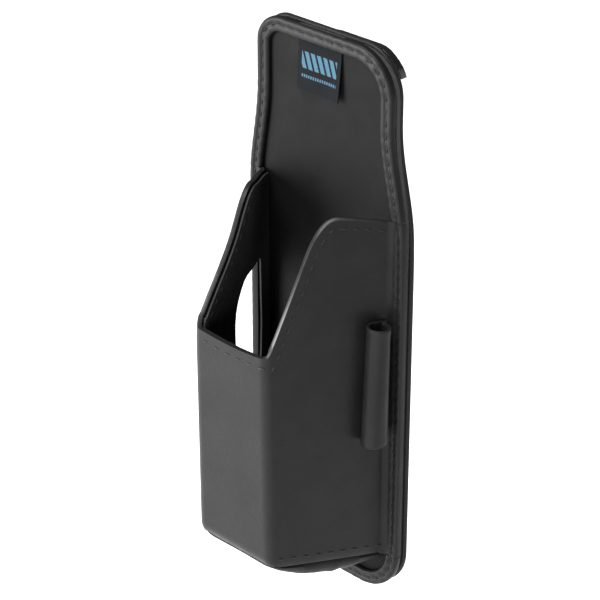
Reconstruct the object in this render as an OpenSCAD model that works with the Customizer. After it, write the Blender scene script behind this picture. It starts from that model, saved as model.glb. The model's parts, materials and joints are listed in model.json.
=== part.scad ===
// Black leather belt holster with an open-topped pocket, a stylus loop and a swivelling belt clip.
// Origin: on the swivel axis, in the middle of the gap that the belt passes through.
// +Z points up, -Y points away from the wearer, +X is the wearer's left as the holster hangs.

/* [Back panel] */
// Height of the back panel
panel_h = 200; // [165:1:245]
// Width of the back panel beside the pocket
panel_w = 70; // [58:1:86]
// Width of the tab above the pocket
tab_w = 60; // [50:1:72]
// Corner radius at the foot of the panel
foot_r = 16.5; // [10:0.5:20]
// Corner radius at the top of the tab
tab_r = 16.2; // [10:0.5:20]
// Height where the panel starts to narrow
shoulder_low = 136; // [110:1:142]
// Height where the tab's full narrowness is reached
shoulder_high = 176; // [146:1:182]
// Width of the border strip round the panel
border_w = 5.2; // [4:0.1:8]
// Thickness of the border strip
border_t = 1.8; // [1.2:0.1:3]
// Thickness of the smooth inner panel
inner_t = 0.8; // [0.6:0.1:1.6]
// Thickness of the stiffener board
board_t = 1.6; // [1.2:0.1:3]
// Thickness of the rear leather
rear_t = 2.0; // [1.2:0.1:3]
// How far the inner panel and board stop short of the edge, which leaves the groove round it
edge_groove = 1.2; // [0.6:0.1:2]

/* [Pocket] */
// Distance from the panel's front to the pocket's front
pocket_d = 42.8; // [32:0.1:56]
// Outside width of the pocket's front
front_w = 33; // [26:0.5:42]
// Width of the flange that is sewn to the panel on each side
flange_w = 5.7; // [4.5:0.1:8]
// Radius of the two front folds
fold_r = 3; // [2:0.1:5]
// Thickness of the pocket leather
leather_t = 1.6; // [1.2:0.1:2.4]
// Thickness of the stiffening sheet inside the walls
sheet_t = 0.6; // [0.4:0.1:1]
// Thickness of the lining
lining_t = 0.6; // [0.4:0.1:1]
// Height of the front's top edge
front_top = 104; // [86:1:125]
// Height of the front's bottom edge
front_bottom = 25; // [20:1:32]
// Height of the side walls where they meet the panel
wing_top = 147; // [127:1:158]
// How far back the sloping mouth edge reaches its full height
wing_run = 21.5; // [16:0.5:28]
// Radius where the sloping edge turns level
wing_r = 6; // [3:0.5:8]
// Height of the side walls' bottom edge at the panel
wall_bottom = 17; // [12:1:19]
// How far the stiffening sheet stops short of the leather's edges
sheet_in = 6; // [5:0.5:9]
// Thickness of the gusset that closes the bottom
gusset_t = 1.8; // [1.2:0.1:2.4]

/* [Side window] */
// Height of the window's lower edge
window_low = 71; // [60:1:80]
// Height of the window's upper edge
window_high = 113; // [95:1:118]
// Distance from the panel to the window's front edge
window_front = 21.5; // [18:0.5:26]
// Distance from the panel to the window's rear edge
window_rear = 6; // [5:0.5:9]
// Corner radius of the window
window_r = 6; // [3:0.5:7]

/* [Stylus loop] */
// Bore of the loop
loop_bore = 5.8; // [4:0.1:8]
// Thickness of the loop leather
loop_t = 1.0; // [0.8:0.1:1.4]
// Height of the loop's lower end
loop_low = 63; // [40:1:70]
// Length of the loop
loop_len = 45; // [30:1:60]
// Distance from the wall's foot to the loop's axis
loop_in = 5.4; // [4.9:0.1:9]

/* [Label] */
// Width of the plain woven label
label_w = 19; // [12:0.5:26]
// Height of the label that shows below the border
label_h = 17; // [10:0.5:24]
// Thickness of the label
label_t = 0.5; // [0.3:0.1:0.8]
// Sideways place of the label's middle
label_x = -3.5; // [-10:0.5:10]
// Length of the label that is tucked under the border
label_tuck = 3; // [2:0.5:4]

/* [Stitching] */
// Thickness of the thread
thread_d = 0.9; // [0.6:0.1:1.2]
// Distance from one stitch to the next
stitch_pitch = 4.4; // [3.5:0.1:6]
// Length of thread that shows in each stitch
stitch_l = 3.0; // [2:0.1:3.4]
// Distance from the panel's edge to its stitches
edge_in = 2.8; // [2.2:0.1:3.4]
// Distance from the mouth's edge to its stitches
mouth_in = 3.6; // [2.5:0.1:4.5]

/* [Belt clip] */
// Height of the swivel axis above the foot of the panel
hub_h = 157; // [130:1:168]
// Thickness of belt that the clip takes
belt_gap = 5; // [4.5:0.1:8]
// Width of the clip base
base_w = 34; // [30:1:42]
// Length of the clip base
base_l = 54; // [50:1:64]
// Thickness of the clip base
base_t = 4; // [3.5:0.1:5]
// Thickness of the lever
lever_t = 2.6; // [2:0.1:3.5]
// Width of the lever's jaw
jaw_w = 28; // [24:1:28]
// Width of the thumb tab
thumb_w = 34.4; // [30:0.2:42]
// Height of the thumb tab's top above the swivel axis
thumb_top = 37.3; // [34:0.1:42]
// Corner radius of the thumb tab
thumb_r = 8.5; // [4:0.5:9]
// Diameter of the hinge pin
pin_d = 2.4; // [2:0.1:2.8]
// Height of the hinge pin above the swivel axis
pin_z = 23; // [20:0.5:25]

/* [Swivel] */
// Diameter of the swivel neck
neck_d = 12; // [9:0.5:15]
// Side of the stud's square plate inside the panel
stud_plate = 34; // [26:1:38]
// Thickness of the stud's plate
stud_plate_t = 1.0; // [0.8:0.1:1.2]
// Side of the leather patch round the swivel
patch_w = 46; // [38:1:50]
// Thickness of the leather patch
patch_t = 1.6; // [1:0.1:2.4]
// Diameter of the nylon spacer washer
spacer_d = 22; // [18:1:28]
// Thickness of the nylon spacer washer
spacer_t = 1.0; // [0.6:0.1:1.6]

/* [Hidden] */
$fn = 48;

run_gap = 0.1;          // end play of the swivel, on each side of the clip base
run_fit = 0.05;         // radial clearance of a turning fit
part_gap = 0.3;         // least space between pieces that move past each other
past = 5;               // how far a cutter runs past what it cuts

// layers of the back panel, as distances behind its front face
inner_y = border_t;
board_y = inner_y + inner_t;
rear_y = board_y + board_t;
panel_t = rear_y + rear_t;
patch_y = panel_t;
spacer_y = patch_y + patch_t;
base_front = spacer_y + spacer_t + run_gap;
base_back = base_front + base_t;
gap_mid = base_back + belt_gap / 2;

// pocket plan: walls flare from the front's folds to the panel
back_w = panel_w - 2 * flange_w;
flare = atan2((back_w - front_w) / 2, pocket_d);
wall_t = leather_t + sheet_t + lining_t;
mouth_slope = atan2(wing_top - front_top, wing_run);

// washer and head that hold the clip base on the swivel, sunk in the base's recess
washer_t = 0.8;
head_t = 0.7;
head_d = 10;
tail_d = 7;
washer_d = neck_d + 5;
recess_d = washer_d + 1.4;
recess_depth = run_gap + washer_t + head_t + part_gap;

// lever hinge
pin_y = -0.2;
lug_r = pin_d / 2 + 0.9;
ear_r = pin_d / 2 + 1.8;
ear_w = (base_w - jaw_w) / 2 - part_gap;
lug_in = 5;
lug_out = 10.8;
wire_d = 0.7;
coil_r = pin_d / 2 + 0.2 + wire_d / 2;
coils = 11;

function unit(v) = v / norm(v);

// points of an arc of radius r that rounds the corner b between a and c
function fillet(a, b, c, r, n = 6) =
    let (u = unit(a - b), v = unit(c - b), half = acos(u * v) / 2)
    let (o = b + unit(u + v) * r / sin(half), p = b + u * r / tan(half) - o)
    let (turn = (cross(u, v) > 0 ? -1 : 1) * (180 - 2 * half), start = atan2(p.y, p.x))
    [for (i = [0:n]) o + r * [cos(start + turn * i / n), sin(start + turn * i / n)]];

// half width of the panel through its shoulder, at share k of the shoulder's height
function shoulder_x(k) = tab_w / 2 + (panel_w - tab_w) / 4 * (1 + cos(180 * k));

// right half of the panel's outline, from the foot to the top, drawn d inside its edge
function half_outline(d) = let (x = panel_w / 2 - d, xt = tab_w / 2 - d, steps = 10)
    concat(
        fillet([0, d], [x, d], [x, shoulder_low], foot_r - d),
        [for (i = [0:steps])
            [shoulder_x(i / steps) - d, shoulder_low + (shoulder_high - shoulder_low) * i / steps]],
        fillet([xt, shoulder_high], [xt, panel_h - d], [0, panel_h - d], tab_r - d)
    );
function mirrored(p) = [for (i = [len(p) - 1:-1:0]) [-p[i].x, p[i].y]];
function outline(d) = concat(half_outline(d), mirrored(half_outline(d)));

// sideways place of a pocket wall at depth y, t inside its outer face
function wall_x(y, t) = front_w / 2 + (y + pocket_d) * tan(flare) - t / cos(flare);

// mouth edge of a side wall in (depth, height), drawn d below the edge
function mouth(d) =
    let (lean = d * tan(mouth_slope / 2), a = [-pocket_d + lean, front_top - d])
    let (b = [-pocket_d + wing_run + lean, wing_top - d], c = [border_t, wing_top - d])
    concat([a], fillet(a, b, c, wing_r + d));

// lengths along an open path, and the point and heading at length s along it
function steps_along(p) =
    [for (i = 0, s = 0; i < len(p); s = s + (i < len(p) - 1 ? norm(p[i + 1] - p[i]) : 0), i = i + 1) s];
function segment_at(lens, s) = max([for (i = [0:len(lens) - 2]) lens[i] <= s ? i : 0]);

// stitches lying on the XZ plane along a path of (x, z) points
module stitch_row(path) {
    lens = steps_along(path);
    total = lens[len(lens) - 1];
    count = round(total / stitch_pitch);
    for (k = [0:count - 1]) {
        s = (k + 0.5) * total / count;
        i = segment_at(lens, s);
        way = unit(path[i + 1] - path[i]);
        at = path[i] + way * (s - lens[i]);
        translate([at.x, 0, at.y]) rotate([0, -atan2(way.y, way.x), 0]) rotate([0, 90, 0])
            cylinder(d = thread_d, h = stitch_l, center = true, $fn = 16);
    }
}

// puts the holster's own frame, at the foot of the panel's front face, in the belt frame
module on_panel() {
    translate([0, -gap_mid, -hub_h]) children();
}

// a flat layer of the panel from depth y0 to y1
module layer(y0, y1) {
    translate([0, y1, 0]) rotate([90, 0, 0]) linear_extrude(y1 - y0) children();
}

module panel_shape(d) {
    polygon(outline(d));
}

// a rounded square layer centred on the swivel
module hub_square(side, r, y0, y1) {
    h = side / 2;
    c = [[h, h], [-h, h], [-h, -h], [h, -h]];
    layer(y0, y1) translate([0, hub_h])
        polygon([for (i = [0:3]) each fillet(c[(i + 3) % 4], c[i], c[(i + 1) % 4], r)]);
}

// a round piece or cutter on the swivel axis
module hub_round(d, y0, y1) {
    translate([0, y1, hub_h]) rotate([90, 0, 0]) cylinder(d = d, h = y1 - y0);
}

module rear_panel() {
    color("#3b3a3a") on_panel() difference() {
        layer(rear_y, panel_t) panel_shape(0);
        hub_round(neck_d + 2 * part_gap, rear_y - past, panel_t + past);
    }
}

module stiffener_board() {
    color("#7a6a55") on_panel() difference() {
        layer(board_y, rear_y) panel_shape(edge_groove);
        hub_square(stud_plate + part_gap, 2, rear_y - stud_plate_t, rear_y + past);
    }
}

module inner_panel() {
    color("#3f3d3f") on_panel() layer(inner_y, board_y) panel_shape(edge_groove);
}

// the border strip as a full ring, before it is shared between the top, the foot and the flanges
module border_ring() {
    layer(0, border_t) difference() {
        panel_shape(0);
        panel_shape(border_w);
    }
}

module between_heights(z0, z1) {
    translate([-panel_w, -pocket_d - past, z0]) cube([2 * panel_w, pocket_d + 4 * past, z1 - z0]);
}

module top_border() {
    color("#5a5857") on_panel() difference() {
        border_ring();
        between_heights(-past, wing_top);
        label_shape();
    }
}

module bottom_border() {
    color("#5a5857") on_panel() intersection() {
        border_ring();
        between_heights(-past, wall_bottom);
    }
}

// the label hangs in front of the inner panel, its top held under the border
module label_shape() {
    top = panel_h - border_w + label_tuck;
    bottom = panel_h - border_w - label_h;
    translate([label_x - label_w / 2, border_t - label_t, bottom]) cube([label_w, label_t, top - bottom]);
}

module label_tab() {
    color("#2d3338") on_panel() label_shape();
}

// area inside the pocket's walls, t inside the outer face, with rounded front folds
module pocket_plan(t) {
    r = fold_r - t > 0.4 ? fold_r - t : 0.4;
    fy = -pocket_d + t;
    back = border_t + past;
    corners = [[wall_x(back, t), back], [-wall_x(back, t), back], [-wall_x(fy, t), fy], [wall_x(fy, t), fy]];
    polygon(concat(
        [corners[0], corners[1]],
        fillet(corners[1], corners[2], corners[3], r),
        fillet(corners[2], corners[3], corners[0], r)
    ));
}

// height of the walls' bottom edge at depth y
function bottom_z(y) = wall_bottom + (front_bottom - wall_bottom) * max(-y, 0) / pocket_d;

// side view of the pocket in (depth, height): d below the mouth and d above the bottom edge
module pocket_side(d, y_end) {
    polygon(concat(
        [[-pocket_d - past, front_bottom + d], [-pocket_d - past, front_top - d]],
        mouth(d),
        [[y_end, wing_top - d], [y_end, bottom_z(y_end) + d]],
        y_end > 0 ? [[0, wall_bottom + d]] : [],
        [[-pocket_d, front_bottom + d]]
    ));
}

// extrudes a (depth, height) outline across the whole width
module across() {
    translate([-panel_w, 0, 0]) rotate([90, 0, 90]) linear_extrude(2 * panel_w) children();
}

// one layer of the pocket's walls, from t0 to t1 inside the outer face and d inside its edges
module pocket_layer(t0, t1, d, y_end) {
    difference() {
        intersection() {
            linear_extrude(panel_h) difference() {
                pocket_plan(t0);
                pocket_plan(t1);
            }
            across() pocket_side(d, y_end);
        }
        side_window(d);
    }
}

// opening in the left wall, a strip of leather away from the panel, d larger all round
module side_window(d) {
    a = [-window_rear + d, window_low - d];
    b = [-window_front - d, window_low - d];
    c = [-window_front - d, window_high + d];
    e = [-window_rear + d, window_high + d];
    translate([-panel_w, 0, 0]) rotate([90, 0, 90]) linear_extrude(panel_w - front_w / 4)
        polygon(concat(
            fillet(e, a, b, window_r), fillet(a, b, c, window_r),
            fillet(b, c, e, window_r), fillet(c, e, a, window_r)
        ));
}

module pocket_wrap() {
    color("#444346") on_panel() union() {
        pocket_layer(0, leather_t, 0, border_t);
        intersection() {
            layer(0, border_t) panel_shape(0);
            between_heights(wall_bottom, wing_top);
            difference() {
                between_heights(wall_bottom, wing_top);
                linear_extrude(panel_h) pocket_plan(leather_t);
            }
        }
    }
}

module wall_stiffener() {
    color("#8a8f94") on_panel() pocket_layer(leather_t, leather_t + sheet_t, sheet_in, -sheet_in);
}

module pocket_lining() {
    color("#1c1a1b") on_panel() difference() {
        pocket_layer(leather_t + sheet_t, wall_t, 0, inner_y);
        gusset_side(past);
    }
}

// slab that slopes from the front's bottom edge to the panel, made up taller below
module gusset_side(below) {
    across() polygon([
        [-pocket_d - past, front_bottom - below], [-pocket_d, front_bottom - below],
        [0, wall_bottom - below], [inner_y, wall_bottom - below],
        [inner_y, wall_bottom + gusset_t], [0, wall_bottom + gusset_t],
        [-pocket_d, front_bottom + gusset_t], [-pocket_d - past, front_bottom + gusset_t]
    ]);
}

module bottom_gusset() {
    color("#2a2829") on_panel() intersection() {
        gusset_side(0);
        linear_extrude(panel_h) pocket_plan(leather_t);
    }
}

// a side wall's own frame: X runs back along its outer face from the front, Y points inwards
module on_right_wall() {
    translate([front_w / 2, -pocket_d, 0]) rotate([0, 0, 90 - flare]) children();
}

module on_left_wall() {
    mirror([1, 0, 0]) on_right_wall() children();
}

// tube on the right wall with its strip sewn into the seam at the wall's foot
module stylus_loop() {
    foot = pocket_d / cos(flare);
    r = loop_bore / 2 + loop_t;
    color("#49484a") on_panel() on_right_wall() translate([foot - loop_in, -r, loop_low]) difference() {
        linear_extrude(loop_len) union() {
            circle(r);
            translate([0, r - loop_t]) square([loop_in, loop_t]);
            square([r, r - part_gap]);
        }
        translate([0, 0, -past]) cylinder(d = loop_bore, h = loop_len + 2 * past);
    }
}

// the same thread shows on the front and on the rear of the panel
module edge_stitching() {
    path = concat(outline(edge_in), [outline(edge_in)[0]]);
    color("#1b1a1b") on_panel() {
        stitch_row(path);
        translate([0, panel_t, 0]) stitch_row(path);
    }
}

// mouth of one side wall as (distance along the wall, height)
function wall_mouth(d) = [for (p = mouth(d)) [(p.x + pocket_d) / cos(flare), p.y]];
module mouth_row() {
    edge = wall_mouth(mouth_in);
    stitch_row(concat([edge[0] + [1, 0]], [for (i = [1:len(edge) - 1]) edge[i]],
        [[pocket_d / cos(flare) - 2, wing_top - mouth_in]]));
}

module mouth_stitching() {
    reach = front_w / 2 - fold_r;
    color("#77757a") on_panel() {
        on_right_wall() mouth_row();
        on_left_wall() mouth_row();
        translate([0, -pocket_d, 0])
            stitch_row([[-reach, front_top - mouth_in], [reach, front_top - mouth_in]]);
    }
}

module gusset_row() {
    rise = front_bottom - wall_bottom;
    foot = pocket_d / cos(flare);
    lift = gusset_t / 2;
    stitch_row([[fold_r, front_bottom + lift - rise * fold_r / foot], [foot - 1, wall_bottom + lift + rise / foot]]);
}

module gusset_stitching() {
    color("#77757a") on_panel() {
        on_right_wall() gusset_row();
        on_left_wall() gusset_row();
    }
}

module clip_patch() {
    color("#403f40") on_panel() difference() {
        hub_square(patch_w, 6, patch_y, spacer_y);
        hub_round(neck_d + 2 * part_gap, patch_y - past, spacer_y + past);
    }
}

module patch_stitching() {
    h = patch_w / 2 - edge_in;
    c = [[h, h], [-h, h], [-h, -h], [h, -h]];
    ring = [for (i = [0:3]) each fillet(c[(i + 3) % 4], c[i], c[(i + 1) % 4], 3.5)];
    color("#1b1a1b") on_panel() translate([0, spacer_y, hub_h]) stitch_row(concat(ring, [ring[0]]));
}

// square plate behind the rear leather, neck that the clip turns on, and a peened end
module swivel_stud() {
    neck_end = base_back - recess_depth + run_gap;
    head_y = neck_end + washer_t;
    color("#b5b6b8") on_panel() union() {
        hub_square(stud_plate, 2, rear_y - stud_plate_t, rear_y);
        hub_round(neck_d, rear_y, neck_end);
        hub_round(tail_d, neck_end, head_y);
        hub_round(head_d, head_y, head_y + head_t);
    }
}

module spacer_washer() {
    color("#e4e2dc") on_panel() difference() {
        hub_round(spacer_d, spacer_y, spacer_y + spacer_t);
        hub_round(neck_d + 2 * part_gap, spacer_y - past, spacer_y + past);
    }
}

module retaining_washer() {
    washer_y = base_back - recess_depth + run_gap;
    color("#b5b6b8") on_panel() difference() {
        hub_round(washer_d, washer_y, washer_y + washer_t);
        hub_round(tail_d, washer_y - past, washer_y + past);
    }
}

// ear that carries the hinge pin, standing on one edge of the clip base
module clip_ear() {
    translate([jaw_w / 2 + part_gap, 0, 0]) difference() {
        rotate([90, 0, 90]) linear_extrude(ear_w) union() {
            translate([pin_y, pin_z]) circle(ear_r);
            translate([-belt_gap / 2 - 1, pin_z - ear_r]) square([pin_y + belt_gap / 2 + 1, 2 * ear_r]);
        }
        translate([-past, pin_y, pin_z]) rotate([0, 90, 0]) cylinder(d = pin_d, h = ear_w + 2 * past);
    }
}

module clip_base() {
    face = -belt_gap / 2;
    h = base_w / 2;
    low = -(base_l - 28);
    high = low + base_l;
    c = [[h, high], [-h, high], [-h, low], [h, low]];
    color("#1d1d1f") union() {
        difference() {
            translate([0, face, 0]) rotate([90, 0, 0]) linear_extrude(base_t)
                polygon([for (i = [0:3]) each fillet(c[(i + 3) % 4], c[i], c[(i + 1) % 4], 5)]);
            translate([0, face + past, 0]) rotate([90, 0, 0])
                cylinder(d = neck_d + 2 * run_fit, h = base_t + 2 * past);
            translate([0, face + past, 0]) rotate([90, 0, 0]) cylinder(d = recess_d, h = recess_depth + past);
        }
        clip_ear();
        mirror([1, 0, 0]) clip_ear();
    }
}

module hinge_pin() {
    color("#9a9b9e") translate([-base_w / 2, pin_y, pin_z]) rotate([0, 90, 0]) cylinder(d = pin_d, h = base_w);
}

// torsion spring as its closed turns, with a groove between each two, and two short legs
module clip_spring() {
    leg = 4;
    length = coils * wire_d;
    crest = coil_r + wire_d / 2;
    color("#a9aaac") translate([0, pin_y, pin_z]) union() {
        rotate([0, 90, 0]) translate([0, 0, -length / 2]) rotate_extrude() polygon(concat(
            [[coil_r - wire_d / 2, length], [coil_r - wire_d / 2, 0]],
            [for (i = [0:coils - 1]) each [[crest, (i + 0.25) * wire_d], [crest, (i + 0.75) * wire_d],
                [coil_r, (i + 1) * wire_d]]]
        ));
        for (side = [-1, 1]) translate([side * (length - wire_d) / 2, side * coil_r, 0])
            cylinder(d = wire_d, h = leg);
    }
}

// distance of the lever's inner face from the middle of the belt gap, at height z
thumb_in = 3.5;
hook_in = belt_gap - part_gap;
hook_z = -15;
lever_low = -24;
function eased(k) = (1 - cos(180 * min(max(k, 0), 1))) / 2;
function lever_y(z) = belt_gap / 2 - thumb_in * eased((z - pin_z - 1) / (thumb_top - pin_z - 1))
    - hook_in * eased((hook_z - z) / (hook_z - lever_low));

module lever_side() {
    steps = 25;
    zs = [for (i = [0:steps]) lever_low + (thumb_top - lever_low) * i / steps];
    polygon(concat(
        [for (z = zs) [lever_y(z), z]],
        [for (i = [steps:-1:0]) [lever_y(zs[i]) + lever_t, zs[i]]]
    ));
}

module lever_front() {
    w = thumb_w / 2;
    low = pin_z + ear_r * 1.4;
    a = [jaw_w / 2, lever_low];
    polygon(concat(
        fillet([0, lever_low], a, [jaw_w / 2, low], 5), [[jaw_w / 2, low], [w, low]],
        fillet([w, low], [w, thumb_top], [0, thumb_top], thumb_r),
        fillet([0, thumb_top], [-w, thumb_top], [-w, low], thumb_r), [[-w, low], [-jaw_w / 2, low]],
        fillet([-jaw_w / 2, low], [-a.x, a.y], [0, lever_low], 5)
    ));
}

module lever_lug() {
    translate([lug_in, 0, 0]) rotate([90, 0, 90]) linear_extrude(lug_out - lug_in) union() {
        translate([pin_y, pin_z]) circle(lug_r);
        translate([pin_y, pin_z - lug_r]) square([belt_gap / 2 - pin_y + lever_t / 2, 2 * lug_r]);
    }
}

module clip_lever() {
    color("#18181a") difference() {
        union() {
            intersection() {
                translate([-thumb_w, 0, 0]) rotate([90, 0, 90]) linear_extrude(2 * thumb_w) lever_side();
                translate([0, thumb_w, 0]) rotate([90, 0, 0]) linear_extrude(2 * thumb_w) lever_front();
            }
            lever_lug();
            mirror([1, 0, 0]) lever_lug();
        }
        translate([-thumb_w, pin_y, pin_z]) rotate([0, 90, 0])
            cylinder(d = pin_d + 2 * run_fit, h = 2 * thumb_w);
    }
}

rear_panel();
stiffener_board();
inner_panel();
top_border();
bottom_border();
label_tab();
pocket_wrap();
wall_stiffener();
pocket_lining();
bottom_gusset();
stylus_loop();
edge_stitching();
mouth_stitching();
gusset_stitching();
clip_patch();
patch_stitching();
swivel_stud();
spacer_washer();
retaining_washer();
clip_base();
hinge_pin();
clip_spring();
clip_lever();
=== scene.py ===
import json
import math
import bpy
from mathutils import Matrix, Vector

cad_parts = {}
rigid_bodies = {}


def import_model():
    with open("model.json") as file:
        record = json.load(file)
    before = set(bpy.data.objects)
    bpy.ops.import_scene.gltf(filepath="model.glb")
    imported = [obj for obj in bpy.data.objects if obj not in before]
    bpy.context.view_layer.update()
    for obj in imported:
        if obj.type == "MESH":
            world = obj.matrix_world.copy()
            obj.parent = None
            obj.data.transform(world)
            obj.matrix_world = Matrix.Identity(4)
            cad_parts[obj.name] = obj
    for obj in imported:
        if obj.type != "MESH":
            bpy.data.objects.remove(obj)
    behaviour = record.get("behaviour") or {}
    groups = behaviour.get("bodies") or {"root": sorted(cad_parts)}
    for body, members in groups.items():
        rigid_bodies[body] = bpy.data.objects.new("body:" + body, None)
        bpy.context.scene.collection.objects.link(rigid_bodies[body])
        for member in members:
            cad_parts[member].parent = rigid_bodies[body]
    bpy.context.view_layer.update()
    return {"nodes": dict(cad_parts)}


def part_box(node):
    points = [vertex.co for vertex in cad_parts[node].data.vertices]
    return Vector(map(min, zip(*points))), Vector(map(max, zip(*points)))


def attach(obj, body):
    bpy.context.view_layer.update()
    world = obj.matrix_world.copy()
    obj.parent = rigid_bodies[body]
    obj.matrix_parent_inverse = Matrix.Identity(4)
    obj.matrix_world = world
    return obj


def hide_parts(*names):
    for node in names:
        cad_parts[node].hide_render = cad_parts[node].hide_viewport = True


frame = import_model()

from types import SimpleNamespace

import bmesh
import bpy
import numpy as np
from bpy.props import FloatProperty, FloatVectorProperty, IntProperty, PointerProperty
from mathutils import Matrix, Vector

bl_info = {
    "name": "Leather Belt Holster",
    "version": (1, 0, 0),
    "blender": (4, 5, 0),
    "location": "View3D > Sidebar > Holster",
    "description": "Builds a black leather belt holster round its packed CAD frame",
    "category": "Object",
}

# The panel's own frame is in millimetres: X across, Y back from the panel's front face, Z up from its foot.
# The belt frame has its origin on the swivel axis, in the middle of the belt gap.
MM = 0.001
PANEL_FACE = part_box("top_border")[0].y
PANEL_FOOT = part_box("rear_panel")[0].z
PANEL_REAR = (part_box("rear_panel")[1].y - PANEL_FACE) / MM
HUB_Z = -PANEL_FOOT / MM
# radius of the hole that the swivel's neck goes through
HUB_R = 6.3


# ---------------------------------------------------------------- sizes and colours

def length(name, description, millimetres):
    """A length that a user may change, shown in scene units."""
    return FloatProperty(name=name, description=description, default=millimetres * MM, unit="LENGTH",
                         subtype="DISTANCE", min=0.0, precision=4)


def colour(name, description, grey):
    """A colour that a user may change."""
    value = grey if isinstance(grey, tuple) else (grey, grey, grey)
    return FloatVectorProperty(name=name, description=description, default=value, subtype="COLOR",
                               size=3, min=0.0, max=1.0)


class HolsterPanelSizes(bpy.types.PropertyGroup):
    """Sizes of the stitched back panel."""
    panel_h: length("Panel height", "Height of the back panel", 200.0)
    panel_w: length("Panel width", "Width of the back panel beside the pocket", 70.0)
    tab_w: length("Tab width", "Width of the tab above the pocket", 60.0)
    foot_r: length("Foot radius", "Corner radius at the foot of the panel", 16.5)
    tab_r: length("Tab radius", "Corner radius at the top right of the tab", 16.2)
    tab_r_left: length("Tab radius, left", "Corner radius at the top left of the tab", 10.5)
    shoulder_low: length("Shoulder start", "Height where the panel starts to narrow", 136.0)
    shoulder_high: length("Shoulder end", "Height where the full narrowness is reached", 176.0)
    border_w: length("Border width", "Width of the padded border strip", 5.2)
    border_t: length("Border thickness", "Thickness of the border strip", 1.8)
    inner_t: length("Inner leather", "Thickness of the smooth inner panel", 0.8)
    board_t: length("Board thickness", "Thickness of the stiffener board", 1.6)
    edge_groove: length("Edge groove", "How far the inner layers stop short of the edge", 1.2)


class HolsterPocketSizes(bpy.types.PropertyGroup):
    """Sizes of the pocket, its gusset and the stylus loop."""
    pocket_d: length("Pocket depth", "From the panel's front to the pocket's front", 42.8)
    front_half_low: length("Front half width, foot", "Half the width of the front near its foot", 16.9)
    front_half_top: length("Front half width, mouth", "Half the width of the front at the mouth", 15.2)
    wall_foot: length("Wall foot", "Half the distance between the walls' feet", 29.3)
    fold_r: length("Fold radius", "Radius of the two front folds", 4.2)
    fillet_r: length("Seam curve", "Radius of the curve from the wall into the flange", 2.6)
    leather_t: length("Leather", "Thickness of the pocket leather", 1.6)
    sheet_t: length("Stiffening sheet", "Thickness of the sheet inside the walls", 0.6)
    lining_t: length("Lining", "Thickness of the lining", 0.6)
    front_top: length("Front top", "Height of the front's top edge", 104.0)
    wing_top: length("Wing top", "Height of the walls at the panel", 147.0)
    front_bottom: length("Front bottom", "Height of the front's bottom edge", 25.0)
    wall_bottom: length("Wall bottom", "Height of the walls' bottom edge at the panel", 17.0)
    gusset_t: length("Gusset", "Thickness of the gusset", 1.8)
    loop_bore: length("Loop bore", "Bore of the stylus loop", 5.8)
    loop_t: length("Loop leather", "Thickness of the loop's leather", 1.0)
    loop_low: length("Loop height", "Height of the loop's lower end", 65.5)
    loop_len: length("Loop length", "Length of the loop", 43.5)
    loop_in: length("Loop inset", "From the wall's foot to the loop's axis", 5.4)


class HolsterTrimSizes(bpy.types.PropertyGroup):
    """Sizes of the stitching, the label, the patch and the belt clip."""
    stitch_pitch: length("Stitch pitch", "Distance from one stitch to the next", 4.4)
    stitch_l: length("Stitch length", "Length of thread that shows in each stitch", 3.1)
    thread_d: length("Thread", "Thickness of the edge's thread", 0.9)
    fine_d: length("Fine thread", "Thickness of the mouth's thread", 0.7)
    edge_in: length("Edge stitches", "Distance from the panel's edge to its stitches", 2.45)
    mouth_in: length("Mouth stitches", "Distance from the mouth's edge to its stitches", 3.3)
    label_w: length("Label width", "Width of the woven label", 19.0)
    label_h: length("Label height", "Height of the label below the border", 17.0)
    label_t: length("Label thickness", "Thickness of the woven label", 0.5)
    label_tuck: length("Label tuck", "Length of label held under the border", 3.0)
    patch_w: length("Patch", "Side of the leather patch round the swivel", 46.0)
    patch_t: length("Patch thickness", "Thickness of the leather patch", 1.6)
    stitch_sides: IntProperty(name="Thread sides", description="Sides of each thread",
                              default=8, min=5, max=16)


class HolsterColours(bpy.types.PropertyGroup):
    """Colours of the holster."""
    leather: colour("Leather", "Dyed black leather of the walls and panel", 0.0105)
    smooth: colour("Smooth leather", "Smooth leather that faces the device", 0.0055)
    lining: colour("Lining", "Woven lining of the pocket", 0.020)
    board: colour("Board", "Fibre board inside the panel", 0.030)
    sheet: colour("Sheet", "Stiffening sheet inside the walls", 0.090)
    thread: colour("Thread", "Thread of the panel's edge", 0.0022)
    pale_thread: colour("Mouth thread", "Thread of the mouth and the gusset", 0.014)
    label_ground: colour("Label ground", "Ground of the woven label", (0.0035, 0.0045, 0.0055))
    label_bars: colour("Label bars", "Bars woven into the label", (0.045, 0.105, 0.15))
    plastic: colour("Plastic", "Moulded plastic of the belt clip", 0.010)
    steel: colour("Steel", "Plated steel of the swivel", (0.60, 0.60, 0.61))
    nylon: colour("Nylon", "Nylon of the spacer washer", (0.74, 0.72, 0.66))
    floor: colour("Floor", "Plain pale floor", 0.90)


GROUPS = {
    "holster_panel": HolsterPanelSizes,
    "holster_pocket": HolsterPocketSizes,
    "holster_trim": HolsterTrimSizes,
}


def sizes():
    """Every size in millimetres, read from the scene's property groups."""
    found = {}
    for group_name, group in GROUPS.items():
        values = getattr(bpy.context.scene, group_name)
        for key in group.__annotations__:
            value = getattr(values, key)
            found[key] = value if isinstance(value, int) else round(value / MM, 5)
    return SimpleNamespace(**found)


def tint(key):
    """A colour from the scene's property group."""
    return tuple(getattr(bpy.context.scene.holster_colours, key))


# ---------------------------------------------------------------- mesh helpers

def on_panel(points):
    """Panel millimetres to metres in the belt frame."""
    p = np.asarray(points, float) * MM
    return p + np.array([0.0, PANEL_FACE, PANEL_FOOT])


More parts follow.
